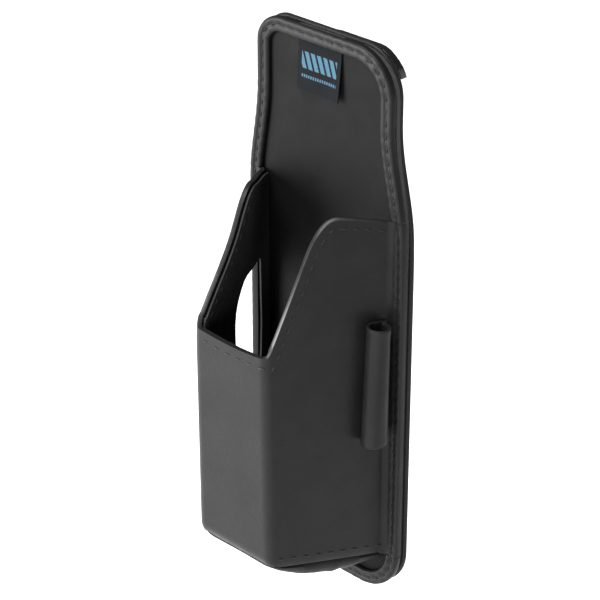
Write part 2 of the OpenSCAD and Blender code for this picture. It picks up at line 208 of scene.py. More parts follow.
def clean(mesh, merge=2e-6):
    """Merges doubles, drops stray parts and turns the faces outwards."""
    bm = bmesh.new()
    bm.from_mesh(mesh)
    bmesh.ops.remove_doubles(bm, verts=bm.verts, dist=merge)
    bmesh.ops.dissolve_degenerate(bm, edges=bm.edges, dist=1e-7)
    loose = [v for v in bm.verts if not v.link_faces]
    bmesh.ops.delete(bm, geom=loose, context="VERTS")
    bmesh.ops.recalc_face_normals(bm, faces=bm.faces)
    bm.to_mesh(mesh)
    bm.free()


def scene_object(name, data):
    """New object with its data, linked to the scene."""
    obj = bpy.data.objects.new(name, data)
    bpy.context.scene.collection.objects.link(obj)
    return obj


def new_object(name, points, faces, material):
    """Closed mesh object at the origin, with its place in its points."""
    mesh = bpy.data.meshes.new(name)
    mesh.from_pydata([tuple(p) for p in points], [], faces)
    clean(mesh)
    mesh.shade_smooth()
    mesh.materials.append(material)
    return scene_object(name, mesh)


def declare(obj, body, slot, *stands_for):
    """Rides a finished piece on its body and says what it stands for."""
    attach(obj, body)
    if stands_for:
        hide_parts(*stands_for)


def sharpen(obj, degrees):
    """Keeps edges steeper than an angle crisp."""
    obj.data.set_sharp_from_angle(angle=math.radians(degrees))


def soften_edges(obj, width, segments=2, degrees=40.0):
    """Live bevel on the steep edges."""
    bevel = obj.modifiers.new("rounded edges", "BEVEL")
    bevel.width = width * MM
    bevel.segments = segments
    bevel.limit_method = "ANGLE"
    bevel.angle_limit = math.radians(degrees)
    bevel.use_clamp_overlap = True
    bevel.miter_outer = "MITER_ARC"


def bake_modifiers(obj):
    """Replaces the object's mesh by what its modifiers make of it."""
    graph = bpy.context.evaluated_depsgraph_get()
    made = bpy.data.meshes.new_from_object(obj.evaluated_get(graph))
    old = obj.data
    obj.modifiers.clear()
    obj.data = made
    bpy.data.meshes.remove(old)


def bore(obj, centre, radius, half_length):
    """Cuts a round hole along Y."""
    bm = bmesh.new()
    bmesh.ops.create_cone(bm, cap_ends=True, segments=48, radius1=radius * MM, radius2=radius * MM,
                          depth=2 * half_length * MM)
    bmesh.ops.rotate(bm, verts=bm.verts, cent=(0, 0, 0), matrix=Matrix.Rotation(math.pi / 2, 3, "X"))
    bmesh.ops.translate(bm, verts=bm.verts, vec=centre)
    mesh = bpy.data.meshes.new("cutter")
    bm.to_mesh(mesh)
    bm.free()
    cutter = scene_object("cutter", mesh)
    cut = obj.modifiers.new("bore", "BOOLEAN")
    cut.operation = "DIFFERENCE"
    cut.solver = "EXACT"
    cut.object = cutter
    bake_modifiers(obj)
    bpy.data.objects.remove(cutter)
    bpy.data.meshes.remove(mesh)


def capped_rings(count, n):
    """Faces of a body made of matching rings of n points each, with both ends capped."""
    faces = []
    for k in range(count - 1):
        a, b = k * n, (k + 1) * n
        faces += [(a + i, a + (i + 1) % n, b + (i + 1) % n, b + i) for i in range(n)]
    return faces + [tuple(range(n)), tuple(range((count - 1) * n, count * n))]


def shell_faces(present, offset):
    """Faces of a sheet with two skins and a rim round every free edge."""
    cols, rows = present.shape[0] + 1, present.shape[1] + 1
    faces = []
    index = np.arange(cols * rows).reshape(cols, rows)
    for i in range(cols - 1):
        for j in range(rows - 1):
            if not present[i, j]:
                continue
            quad = (index[i, j], index[i + 1, j], index[i + 1, j + 1], index[i, j + 1])
            faces.append(tuple(int(q) for q in quad))
            faces.append(tuple(int(q) + offset for q in reversed(quad)))
            sides = (((i, j - 1), quad[0], quad[1]), ((i + 1, j), quad[1], quad[2]),
                     ((i, j + 1), quad[2], quad[3]), ((i - 1, j), quad[3], quad[0]))
            for (ni, nj), p, q in sides:
                inside = 0 <= ni < cols - 1 and 0 <= nj < rows - 1 and present[ni, nj]
                if not inside:
                    faces.append((int(p), int(p) + offset, int(q) + offset, int(q)))
    return faces


def shell_object(name, skins, material, gap=None):
    """Closed sheet from two matching grids of points. A gap is a block of faces left out."""
    cols, rows = skins[0].shape[:2]
    present = np.ones((cols - 1, rows - 1), bool)
    if gap is not None:
        a, b, low, high = gap
        present[a:b, low:high] = False
    points = np.concatenate([skin.reshape(-1, 3) for skin in skins])
    return new_object(name, on_panel(points), shell_faces(present, cols * rows), material)


def empty_skins(cols, rows):
    """Two grids of points for a sheet's two sides."""
    return [np.zeros((cols, rows, 3)), np.zeros((cols, rows, 3))]


def soft_min(a, b, reach):
    """Smaller of two heights, rounded over a reach where they cross."""
    h = np.clip(0.5 + 0.5 * (b - a) / reach, 0.0, 1.0)
    return b + (a - b) * h - reach * h * (1.0 - h)


def smooth_step(x):
    """Eased step from 0 to 1."""
    t = np.clip(x, 0.0, 1.0)
    return t * t * (3.0 - 2.0 * t)


# ---------------------------------------------------------------- outline of the back panel

# points along the outline's flats, corners, straight sides and shoulders
FLAT_STEPS = 22
CORNER_STEPS = 27
SIDE_STEPS = 136
SHOULDER_STEPS = 47


def shoulder_half(s, z):
    """Half width of the panel at a height on its sides."""
    k = np.clip((z - s.shoulder_low) / (s.shoulder_high - s.shoulder_low), 0.0, 1.0)
    return s.tab_w / 2 + (s.panel_w - s.tab_w) / 4 * (1 + np.cos(np.pi * k))


def tab_lean(z):
    """How far the tab stands off centre at a height."""
    return -1.2 * smooth_step((np.asarray(z, float) - 122.0) / 50.0)


def half_outline(s, d, extra, tab_r):
    """Half of the outline, d inside the edge, from the middle of the foot to the middle of the top."""
    x = s.panel_w / 2 - d
    rf = max(s.foot_r - d, 0.4)
    rt = max(tab_r - d, 0.4)
    xt = s.tab_w / 2 - d
    points = [(t * (x - rf), d) for t in np.linspace(0, 1, FLAT_STEPS)]
    for a in np.linspace(-90, 0, CORNER_STEPS)[1:]:
        points.append((x - rf + rf * math.cos(math.radians(a)), d + rf + rf * math.sin(math.radians(a))))
    top_z = s.panel_h - d - rt
    straight = np.linspace(s.foot_r, s.shoulder_low, SIDE_STEPS)[1:]
    curved = np.linspace(s.shoulder_low, s.shoulder_high, SHOULDER_STEPS)[1:]
    heights = [h for h in sorted({*straight, *curved, *extra}) if h < top_z - 0.5]
    points += [(float(shoulder_half(s, h)) - d, h) for h in heights]
    for a in np.linspace(0, 90, CORNER_STEPS):
        points.append((xt - rt + rt * math.cos(math.radians(a)), top_z + rt * math.sin(math.radians(a))))
    points += [((1 - t) * (xt - rt), s.panel_h - d) for t in np.linspace(0, 1, FLAT_STEPS)[1:]]
    return points


def ring(s, d, extra=()):
    """Whole outline as a closed ring of points that match from one d to another."""
    right = half_outline(s, d, extra, s.tab_r)
    left = half_outline(s, d, extra, s.tab_r_left)
    whole = right + [(-x, z) for x, z in reversed(left[1:-1])]
    return [(x + float(tab_lean(z)), z) for x, z in whole]


def layer_object(s, name, section, material, wave=0.0):
    """Closed sheet on the panel's outline. The section runs from front to rear as (inset, depth)."""
    points = []
    for d, y in section:
        for x, z in ring(s, d):
            lift = 0.0
            if 8 < d < 22:
                lift = wave * math.sin(0.11 * z + 0.06 * x) * math.sin(math.pi * (d - 8) / 14)
            points.append((x, y + lift, z))
    faces = capped_rings(len(section), len(points) // len(section))
    return new_object(name, on_panel(points), faces, material)


# front of the padded edge as (inset, depth), with the groove that the stitches lie in
GROOVE = 2.8
PADDED_EDGE = [(0.0, 0.95), (0.08, 0.55), (0.35, 0.2), (0.8, 0.0), (1.4, -0.08), (1.95, 0.0),
               (2.4, 0.32), (GROOVE, 0.62), (3.2, 0.32)]
# how much each of the border's section points swells between two stitches
BORDER_SWELL = (0.0, 0.12, 0.14, 0.16, 0.16, 0.22, 0.32, 0.46, 0.32, 0.2, 0.14, 0.1, 0.0)


def border_section(s):
    """Closed section of the border strip as (inset, depth)."""
    w = s.border_w
    front = PADDED_EDGE + [(3.65, 0.02), (4.2, -0.05), (4.7, 0.1), (5.0, 0.45), (5.2, 0.95)]
    front = [(float(np.interp(d, (0.0, GROOVE, 5.2), (0.0, s.edge_in, w))), y) for d, y in front]
    t = s.border_t
    rear = [(w - 0.1, t - 0.15), (w - 0.3, t), (3.0, t), (1.35, t), (1.08, t + 0.2), (1.0, t + 0.62),
            (0.8, t + 0.8), (0.4, t + 0.76), (0.08, t + 0.45), (0.0, t - 0.2)]
    return front + rear


def edge_profile(d):
    """Depth of the padded, stitched front at a distance from the edge."""
    steps, depths = zip(*PADDED_EDGE, (3.65, 0.03), (4.2, 0.0))
    return np.interp(d, steps, depths)


def edge_back(d, t):
    """Depth of the back of the border leather, which rolls over the inner leather's edge."""
    depths = (t + 0.3, t + 0.6, t + 0.8, t + 0.8, t + 0.5, t - 0.02)
    return np.interp(d, (0.0, 0.08, 0.35, 0.8, 1.0, 1.4), depths)


def edge_run(s, extra=()):
    """Running length of the edge's stitch line at each point of its ring, and its even stitch pitch."""
    path = ring(s, s.edge_in, extra)
    steps = [math.dist(path[i - 1], path[i]) for i in range(len(path))]
    total = sum(steps)
    return np.cumsum(steps) - steps[0], total / (int(total / s.stitch_pitch) + 1), total


def pucker(run, pitch):
    """Small swelling between two stitches, from 0 to 1."""
    return 0.5 - 0.5 * np.cos(2 * np.pi * run / pitch)


def flange_pucker(s, side, z):
    """Swelling between the stitches of a flange at heights z."""
    run, pitch, total = edge_run(s)
    half = half_outline(s, s.edge_in, (), s.tab_r)
    sides = [i for i, (_, h) in enumerate(half) if s.foot_r <= h <= s.shoulder_high]
    at = np.interp(z, [half[i][1] for i in sides], [run[i] for i in sides])
    return pucker(at if side > 0 else total - at, pitch)


def border_object(s, name, material, cut_z, upper):
    """Border strip above or below a height, with capped ends."""
    section = border_section(s)
    half = half_outline(s, 0.0, (cut_z,), s.tab_r)
    at_cut = min(range(len(half)), key=lambda i: abs(half[i][1] - cut_z) + (0 if half[i][0] > 1 else 1e3))
    n = 2 * len(half) - 2
    order = list(range(at_cut, n - at_cut + 1))
    if not upper:
        order = list(range(n - at_cut, n)) + list(range(0, at_cut + 1))
    rings = [ring(s, d, extra=(cut_z,)) for d, _ in section]
    run, pitch, _ = edge_run(s, (cut_z,))
    points = []
    for k in order:
        swell = float(pucker(run[k], pitch))
        for j, (d, y) in enumerate(section):
            x, z = rings[j][k]
            over_label = abs(x - LABEL_X) < s.label_w / 2 + 1.0 and z > s.panel_h - 20
            depth = y - swell * BORDER_SWELL[min(j, len(BORDER_SWELL) - 1)]
            if over_label and y > s.border_t - s.label_t:
                depth = s.border_t - s.label_t - 0.05
            points.append((x, depth, z))
    return new_object(name, on_panel(points), capped_rings(len(order), len(section)), material)


# ---------------------------------------------------------------- pocket surface

LABEL_X = -3.5
# height at which the upper border strip starts, behind the pocket's flanges
CUT_TOP = 144.1
# share of a bend's radius that is left out of the straight wall beside it
BEND_SHARE = 0.745
# heights between which the front's width changes evenly
FRONT_FOOT = 27.0
FRONT_RISE = 77.0
# points across the walls, the bends and half the front
WALL_STEPS = 42
BEND_STEPS = 9
FRONT_STEPS = 15
# rows below and above the window that ease into it, and how often they are smoothed
EASE_BELOW = 22
EASE_ABOVE = 16
EASE_ROUNDS = 260
WINDOW_MIDDLE = np.array([30.5, 92.0])
# the window's top, front, foot and rear as (distance along the wall, height)
WINDOW = [
    [(38.0, 112.2), (37.2, 114.0), (35.6, 114.2), (33.0, 113.1), (30.0, 112.5), (27.5, 112.0),
     (25.8, 110.5)],
    [(25.8, 110.5), (24.9, 108.7), (23.7, 105.6), (22.8, 102.4), (22.3, 99.4), (22.0, 95.9), (22.1, 92.1),
     (22.3, 88.7), (22.6, 85.0), (23.2, 80.0), (24.4, 76.0)],
    [(24.4, 76.0), (26.5, 73.2), (29.5, 71.6), (33.0, 71.0), (36.0, 71.3), (38.0, 73.0)],
    [(38.0, 73.0), (38.8, 77.0), (38.9, 90.0), (38.5, 105.0), (38.0, 112.2)],
]


def front_half(s, z):
    """Half width of the pocket's front at a height, out to the sharp corner."""
    k = (z - FRONT_FOOT) / FRONT_RISE
    return s.front_half_low + (s.front_half_top - s.front_half_low) * k


def spread(s, side, z, along):
    """Extra half width of the left side, which stands wider than the right at the front."""
    if side > 0:
        return 0.0 * z
    low = 1.4 + 1.9 * (z - FRONT_FOOT) / FRONT_RISE
    fade = smooth_step((z - 98.0) / 42.0)
    share = 1.0 - np.clip(along / wall_length(s), 0.0, 1.0)
    return low * (1.0 - fade) * share - 3.1 * fade * smooth_step(share * 2.2)


def wall_length(s):
    """Length of a side wall from the sharp front corner to the panel's face."""
    return math.hypot(s.wall_foot - (s.front_half_low + s.front_half_top) / 2, s.pocket_d)


def wall_angle(s, z):
    """Angle by which the wall flares from straight back."""
    return np.arctan2(s.wall_foot - front_half(s, z), s.pocket_d)


def wall_point(s, along, z, t=0.0):
    """Point of the right wall at a distance from the front corner, t inside its outer face."""
    a = wall_angle(s, z)
    reach = wall_length(s)
    share = np.clip(along / reach, 0.0, 1.0)
    bow = 1.7 * np.sin(np.pi * share) * np.clip((z - 60.0) / 87.0, 0.0, 1.0) ** 1.5
    # the bow is inward, and a slight belly lies low on the wall
    belly = -0.55 * np.sin(np.pi * share) * np.exp(-((z - 52.0) / 26.0) ** 2)
    inward = t + bow + belly
    x = front_half(s, z) + along * np.sin(a) - inward * np.cos(a)
    y = -s.pocket_d + along * np.cos(a) + inward * np.sin(a)
    return x, y


def mouth_height(s, along):
    """Height of the mouth's edge at a distance from the front corner."""
    ramp = (np.sqrt((along - 0.9) ** 2 + 0.64) + along - 0.9) / 2
    level = s.wing_top + 1.3 - 0.227 * (along - 26.0)
    return soft_min(s.front_top + 2.15 * ramp, level, 14.5)


def bottom_height(s, along):
    """Height of the wall's bottom edge at a distance from the front corner."""
    share = np.clip(along / wall_length(s), 0.0, 1.0)
    return s.front_bottom + (s.wall_bottom - s.front_bottom) * share


def pocket_columns(s, with_flange, end):
    """Columns across the right half, from the rear to the middle of the front, as (zone, parameter)."""
    columns = []
    if with_flange:
        columns += [("flange", d) for d, _ in PADDED_EDGE] + [("flange", 3.65)]
        columns += [("fillet", q) for q in np.linspace(0, 1, BEND_STEPS)[:-1]]
    first = s.fold_r * BEND_SHARE
    columns += [("wall", a) for a in np.linspace(end, first, WALL_STEPS)]
    columns += [("fold", q) for q in np.linspace(0, 1, BEND_STEPS)[1:]]
    columns += [("front", q) for q in np.linspace(1, 0, FRONT_STEPS)[1:]]
    return columns


def column_edge(s, zone, value, inset, foot):
    """Bottom and top height of a column."""
    reach = wall_length(s)
    along = {"flange": reach, "fillet": reach, "wall": value, "front": 0.0}.get(zone, 0.0)
    if zone == "fold":
        along = s.fold_r * BEND_SHARE * (1.0 - value) ** 1.6
    low = bottom_height(s, along) + foot
    high = mouth_height(s, along)
    lean = 1.0 if zone != "wall" else math.hypot(1.0, (mouth_height(s, along + 0.5) - high) / 0.5)
    high = high - inset * min(lean, 2.6)
    if zone in ("front", "fold"):
        middle = value if zone == "front" else 1.0
        high = high - 0.7 * (1.0 - middle ** 2)
    return low, high


def pocket_xy(s, zone, value, z, t):
    """Plan place of a column at heights z, t inside the outer face."""
    a = wall_angle(s, z)
    if zone == "wall":
        return wall_point(s, value, z, t)
    if zone in ("flange", "fillet"):
        o = (s.wall_foot + s.fillet_r * np.tan((np.pi / 2 - a) / 2), -s.fillet_r)
        if zone == "fillet":
            turn = np.pi / 2 + value * (np.pi / 2 - a)
            r = s.fillet_r + t
            return o[0] + r * np.cos(turn), o[1] + r * np.sin(turn)
        half = shoulder_half(s, z)
        room = half - o[0]
        d = value * s.edge_in / GROOVE
        if value > GROOVE:
            d = s.edge_in + (value - GROOVE) * (room - s.edge_in) / 1.05 * 0.8
        if t > 0:
            return half - np.maximum(d, 0.12), edge_back(value, s.border_t) + 0.0 * z
        return half - d, edge_profile(value) + 0.0 * z
    half = front_half(s, z)
    tangent = s.fold_r * np.tan((np.pi / 2 - a) / 2)
    if zone == "fold":
        o = (half - tangent, -s.pocket_d + s.fold_r)
        turn = -a + value * (a - np.pi / 2)
        r = max(s.fold_r - t, 0.25)
        return o[0] + r * np.cos(turn), o[1] + r * np.sin(turn)
    x = (half - tangent) * value
    sag = 0.25 * np.cos(np.pi / 2 * value) * np.sin(np.pi * np.clip((z - 25.0) / 79.0, 0, 1))
    return x, -s.pocket_d + t + sag + 0.0 * z


def hem(s, zone, z, low):
    """How far the bottom edge turns under, as a move inwards."""
    reach = {"front": 2.6, "fold": 2.2, "wall": 1.2}.get(zone, 0.0)
    k = np.clip(1.0 - (z - low) / 4.0, 0.0, 1.0)
    return 0.45 * reach * k ** 2.2


def relax_window(s, along, z, grow):
    """Fits a block of the left wall's grid to the window and eases the grid round it. Returns the block."""
    sides = []
    for side in WINDOW:
        shape = np.array(side)
        away = shape - WINDOW_MIDDLE
        shape = shape + grow * away / np.linalg.norm(away, axis=1, keepdims=True)
        shape[:, 0] = np.minimum(shape[:, 0], along[0, 0] - 0.8)
        sides.append(shape)
    rows = along.shape[1]
    i0 = max(1, int(np.argmin(np.abs(along[:, rows // 2] - sides[3][1, 0]))))
    i1 = int(np.argmin(np.abs(along[:, rows // 2] - sides[1][4, 0])))
    middle = (i0 + i1) // 2
    j0 = int(np.argmin(np.abs(z[middle, :] - sides[2][2, 1])))
    j1 = int(np.argmin(np.abs(z[middle, :] - sides[0][4, 1])))
    paths = [[(i, j1) for i in range(i0, i1 + 1)], [(i1, j) for j in range(j1, j0 - 1, -1)],
             [(i, j0) for i in range(i1, i0 - 1, -1)], [(i0, j) for j in range(j0, j1 + 1)]]
    fixed = np.zeros(along.shape, bool)
    for path, shape in zip(paths, sides):
        lens = np.concatenate([[0.0], np.cumsum(np.linalg.norm(np.diff(shape, axis=0), axis=1))])
        for (i, j), w in zip(path, np.linspace(0.0, lens[-1], len(path))):
            along[i, j] = np.interp(w, lens, shape[:, 0])
            z[i, j] = np.interp(w, lens, shape[:, 1])
            fixed[i, j] = True
    fixed[0, :] = True
    fixed[-1, :] = True
    fixed[:, :max(j0 - EASE_BELOW, 1)] = True
    fixed[:, min(j1 + EASE_ABOVE, rows - 1):] = True
    fixed[i0:i1, j0:j1] = True
    for _ in range(EASE_ROUNDS):
        for grid in (along, z):
            mean = grid.copy()
            mean[1:-1, 1:-1] = (grid[2:, 1:-1] + grid[:-2, 1:-1] + grid[1:-1, 2:] + grid[1:-1, :-2]) / 4
            grid[~fixed] = mean[~fixed]
    return i0, i1, j0, j1


def pocket_half(s, side, columns, rows, t, inset, foot, grow):
    """Grid of points of one half, with the block of faces that the window takes out."""
    count = len(columns)
    along = np.zeros((count, rows))
    z = np.zeros((count, rows))
    v = np.linspace(0, 1, rows)
    for c, (zone, value) in enumerate(columns):
        low, high = column_edge(s, zone, value, inset, foot)
        z[c] = low + (high - low) * v
        along[c] = value
    block = None
    if side < 0:
        walls = [c for c, (zone, _) in enumerate(columns) if zone == "wall"]
        a, b = walls[0], walls[-1] + 1
        part_along = along[a:b].copy()
        part_z = z[a:b].copy()
        i0, i1, j0, j1 = relax_window(s, part_along, part_z, grow)
        along[a:b] = part_along
        z[a:b] = part_z
        block = (a + i0, a + i1, j0, j1)
    grid = np.zeros((count, rows, 3))
    for c, (zone, value) in enumerate(columns):
        low, _ = column_edge(s, zone, value, inset, foot)
        use = along[c] if zone == "wall" else value
        x, y = pocket_xy(s, zone, use, z[c], t)
        fold_in = hem(s, zone, z[c], low)
        if zone in ("front", "fold"):
            y = y + fold_in
        elif zone == "wall":
            x = x - fold_in
        if zone == "flange":
            x = x + side * tab_lean(z[c]) * min(1.0, (3.65 - value) / 0.85)
            if t == 0:
                swell = np.interp(value, (0.0, 1.0, 1.95, GROOVE, 3.65), (0, 0.15, 0.22, 0.46, 0.1))
                y = y - flange_pucker(s, side, z[c]) * swell
        elif zone == "wall":
            x = x + spread(s, side, z[c], use)
        elif zone == "fold":
            x = x + spread(s, side, z[c], 0.0)
        elif zone == "front":
            x = x + value * spread(s, side, z[c], 0.0)
        grid[c, :, 0] = side * x
        grid[c, :, 1] = y
        grid[c, :, 2] = z[c]
    return grid, block


def pocket_object(s, name, material, t_out, t_in, inset, foot, rows, with_flange, grow):
    """One layer of the pocket, from wall to wall round the front."""
    end = wall_length(s) - s.fillet_r * BEND_SHARE if with_flange else wall_length(s) + 1.4 - inset
    columns = pocket_columns(s, with_flange, end)
    skins = []
    for t in (t_out, t_in):
        right, _ = pocket_half(s, 1, columns, rows, t, inset, foot, grow)
        left, (a, b, low, high) = pocket_half(s, -1, columns, rows, t, inset, foot, grow)
        skins.append(np.concatenate([right, left[:-1][::-1]], axis=0))
    last = skins[0].shape[0] - 1
    return shell_object(name, skins, material, (last - b, last - a, low, high))


def paint_rim_highlight(s, obj):
    """Writes where the mouth's outer edge is rubbed pale, from 0 to 1."""
    wear = obj.data.attributes.new("wear", "FLOAT", "POINT")
    reach = wall_length(s)
    values = []
    for vertex in obj.data.vertices:
        x = vertex.co.x / MM
        y = (vertex.co.y - PANEL_FACE) / MM
        z = (vertex.co.z - PANEL_FOOT) / MM
        along = (y + s.pocket_d) * reach / s.pocket_d
        if along < 1.0 or along > reach - 3.0:
            values.append(0.0)
            continue
        outer = float(wall_point(s, along, z, 0.7)[0])
        near = 1.0 - min(1.0, abs(float(mouth_height(s, along)) - z) / 0.45)
        # painted highlight: strongest near the front corner and on the right wall's rim, three tenths as
        # strong on the left wall
        rim_highlight_reach = math.exp(-max(0.0, along - 22.0) / 5.0) * (1.0 if x > 0 else 0.3)
        values.append(near * rim_highlight_reach if abs(x) > outer else 0.0)
    wear.data.foreach_set("value", values)


# ---------------------------------------------------------------- materials

def start_material(name):
    """New node material with its Principled shader."""
    material = bpy.data.materials.new(name)
    material.use_nodes = True
    tree = material.node_tree
    return material, tree, tree.nodes["Principled BSDF"]


def add(tree, kind, **settings):
    """Adds a node and sets its properties and inputs."""
    made = tree.nodes.new(kind)
    for key, value in settings.items():
        if hasattr(made, key):
            setattr(made, key, value)
        else:
            made.inputs[key.replace("_", " ")].default_value = value
    return made


def object_noise(tree, scale, detail=3.0, roughness=0.55):
    """Noise on the piece's own coordinates, with its scale per metre."""
    where = add(tree, "ShaderNodeTexCoord")
    noise = add(tree, "ShaderNodeTexNoise", Scale=scale, Detail=detail, Roughness=roughness)
    tree.links.new(where.outputs["Object"], noise.inputs["Vector"])
    return noise.outputs["Fac"]


def object_cells(tree, scale):
    """Voronoi cells on the piece's own coordinates."""
    where = add(tree, "ShaderNodeTexCoord")
    cells = add(tree, "ShaderNodeTexVoronoi", feature="F1", Scale=scale, Randomness=1.0)
    tree.links.new(where.outputs["Object"], cells.inputs["Vector"])
    return cells.outputs["Distance"]


def between(tree, factor, low, high, from_low=0.0, from_high=1.0):
    """Maps a factor to a range."""
    node = add(tree, "ShaderNodeMapRange")
    node.inputs["From Min"].default_value = from_low
    node.inputs["From Max"].default_value = from_high
    node.inputs["To Min"].default_value = low
    node.inputs["To Max"].default_value = high
    tree.links.new(factor, node.inputs["Value"])
    return node.outputs["Result"]


def blend_colours(tree, factor, first, second):
    """Mixes two colours, or a colour output and a colour."""
    node = add(tree, "ShaderNodeMix", data_type="RGBA")
    tree.links.new(factor, node.inputs["Factor"])
    for socket, value in ((node.inputs[6], first), (node.inputs[7], second)):
        if isinstance(value, tuple):
            socket.default_value = (*value, 1.0)
        else:
            tree.links.new(value, socket)
    return node.outputs[2]


def raise_surface(tree, height, distance, strength=1.0, under=None):
    """Bump from a height, on top of another bump."""
    bump = add(tree, "ShaderNodeBump")
    bump.inputs["Strength"].default_value = strength
    bump.inputs["Distance"].default_value = distance * MM
    tree.links.new(height, bump.inputs["Height"])
    if under is not None:
        tree.links.new(under, bump.inputs["Normal"])
    return bump.outputs["Normal"]


def maths(tree, operation, *values):
    """Math node on numbers and other nodes' outputs."""
    node = add(tree, "ShaderNodeMath", operation=operation)
    for socket, value in zip(node.inputs, values):
        if isinstance(value, (int, float)):
            socket.default_value = value
        else:
            tree.links.new(value, socket)
    return node.outputs[0]


def shade(colour_value, factor):
    """A colour made lighter or darker."""
    return tuple(min(1.0, c * factor) for c in colour_value)


def coat(tree, shader, factor, first, second, rough):
    """Lets one factor run the shader's colour and its roughness."""
    tree.links.new(blend_colours(tree, factor, first, second), shader.inputs["Base Color"])
    tree.links.new(between(tree, factor, *rough), shader.inputs["Roughness"])


def leather(name, base, grain=1250.0, depth=0.045, rough=(0.36, 0.50), crease=0.05, specular=0.12):
    """Dyed leather: fine grain, soft creases, uneven dye and paler worn edges."""
    material, tree, shader = start_material(name)
    mottle = object_noise(tree, 55.0, 4.0)
    uneven = between(tree, mottle, 0.0, 1.0, 0.3, 0.7)
    dye = blend_colours(tree, uneven, shade(base, 0.86), shade(base, 1.16))
    # painted highlight: the point attribute, broken up by noise, mixes the dye towards a far paler leather
    # tone
    wear = add(tree, "ShaderNodeAttribute", attribute_name="wear")
    broken = between(tree, object_noise(tree, 160.0, 3.0), 0.5, 1.0, 0.3, 0.7)
    rim_highlight_mask = maths(tree, "MULTIPLY", wear.outputs["Fac"], broken)
    dye = blend_colours(tree, rim_highlight_mask, dye, shade(base, 22.0))
    tree.links.new(dye, shader.inputs["Base Color"])
    patchy = object_noise(tree, 130.0, 3.0)
    tree.links.new(between(tree, patchy, rough[0], rough[1], 0.3, 0.7), shader.inputs["Roughness"])
    shader.inputs["Specular IOR Level"].default_value = specular
    cells = object_cells(tree, grain)
    pores = object_noise(tree, grain * 2.2, 2.0)
    folds = object_noise(tree, 190.0, 4.0, 0.6)
    normal = raise_surface(tree, folds, crease)
    normal = raise_surface(tree, cells, depth, 0.8, normal)
    normal = raise_surface(tree, pores, depth * 0.5, 0.6, normal)
    tree.links.new(normal, shader.inputs["Normal"])
    return material


def woven(name, base, pitch=0.55, rough=0.85):
    """Plain weave on the piece's own coordinates."""
    material, tree, shader = start_material(name)
    where = add(tree, "ShaderNodeTexCoord")
    heights = []
    for direction in ("X", "Z"):
        wave = add(tree, "ShaderNodeTexWave", wave_type="BANDS", bands_direction=direction,
                   Scale=1.0 / (pitch * MM) / 6.2832 * 0.98, Distortion=0.6)
        wave.inputs["Detail Scale"].default_value = 1.5
        tree.links.new(where.outputs["Object"], wave.inputs["Vector"])
        heights.append(wave.outputs["Fac"])
    weave = maths(tree, "MULTIPLY", *heights)
    dye = blend_colours(tree, weave, shade(base, 0.7), shade(base, 1.35))
    tree.links.new(dye, shader.inputs["Base Color"])
    fuzz = object_noise(tree, 900.0, 2.0)
    tree.links.new(between(tree, fuzz, rough - 0.06, rough + 0.06), shader.inputs["Roughness"])
    shader.inputs["Specular IOR Level"].default_value = 0.3
    tree.links.new(raise_surface(tree, weave, 0.05), shader.inputs["Normal"])
    return material


def label_cloth(name, ground, bars):
    """Woven label with a plain row of slanted bars over a broken line, on its own UV map."""
    material, tree, shader = start_material(name)
    uv = add(tree, "ShaderNodeUVMap", uv_map="label")
    split = add(tree, "ShaderNodeSeparateXYZ")
    tree.links.new(uv.outputs["UV"], split.inputs["Vector"])
    across, up = split.outputs["X"], split.outputs["Y"]

    def within(value, low, high):
        above = maths(tree, "GREATER_THAN", value, low)
        return maths(tree, "MULTIPLY", above, maths(tree, "LESS_THAN", value, high))

    def stripes(count, share, slant, low, high):
        lean = maths(tree, "MULTIPLY", up, slant)
        phase = maths(tree, "FRACT", maths(tree, "MULTIPLY_ADD", across, count, lean))
        band = maths(tree, "MULTIPLY", within(up, low, high), within(across, 0.09, 0.91))
        return maths(tree, "MULTIPLY", maths(tree, "LESS_THAN", phase, share), band)

    bars_row = stripes(7.0, 0.66, 3.0, 0.38, 0.66)
    broken_line = stripes(19.0, 0.6, 0.0, 0.23, 0.28)
    motif = maths(tree, "MAXIMUM", bars_row, broken_line)
    warp = add(tree, "ShaderNodeTexWave", wave_type="BANDS", bands_direction="X", Scale=14.0)
    weft = add(tree, "ShaderNodeTexWave", wave_type="BANDS", bands_direction="Y", Scale=14.0)
    tree.links.new(uv.outputs["UV"], warp.inputs["Vector"])
    tree.links.new(uv.outputs["UV"], weft.inputs["Vector"])
    weave = maths(tree, "MULTIPLY", warp.outputs["Fac"], weft.outputs["Fac"])
    plain = blend_colours(tree, weave, shade(ground, 0.7), shade(ground, 1.5))
    bright = blend_colours(tree, weave, shade(bars, 0.75), shade(bars, 1.2))
    tree.links.new(blend_colours(tree, motif, plain, bright), shader.inputs["Base Color"])
    tree.links.new(between(tree, object_noise(tree, 1500.0, 2.0), 0.7, 0.85), shader.inputs["Roughness"])
    shader.inputs["Specular IOR Level"].default_value = 0.08
    tree.links.new(raise_surface(tree, weave, 0.06), shader.inputs["Normal"])
    return material


def twisted_thread(name, base):
    """Waxed thread with its twist."""
    material, tree, shader = start_material(name)
    fibre = object_noise(tree, 2600.0, 2.0)
    coat(tree, shader, fibre, shade(base, 0.7), shade(base, 1.4), (0.45, 0.65))
    shader.inputs["Specular IOR Level"].default_value = 0.18
    tree.links.new(raise_surface(tree, fibre, 0.05), shader.inputs["Normal"])
    return material


def moulded_plastic(name, base, rough=0.16):
    """Glossy moulded plastic with a faint orange-peel surface and light scuffs."""
    material, tree, shader = start_material(name)
    haze = object_noise(tree, 90.0, 3.0)
    coat(tree, shader, haze, shade(base, 0.85), shade(base, 1.3), (rough * 0.8, rough * 1.5, 0.3, 0.7))
    peel = object_noise(tree, 650.0, 2.0)
    tree.links.new(raise_surface(tree, peel, 0.02, 0.5), shader.inputs["Normal"])
    return material


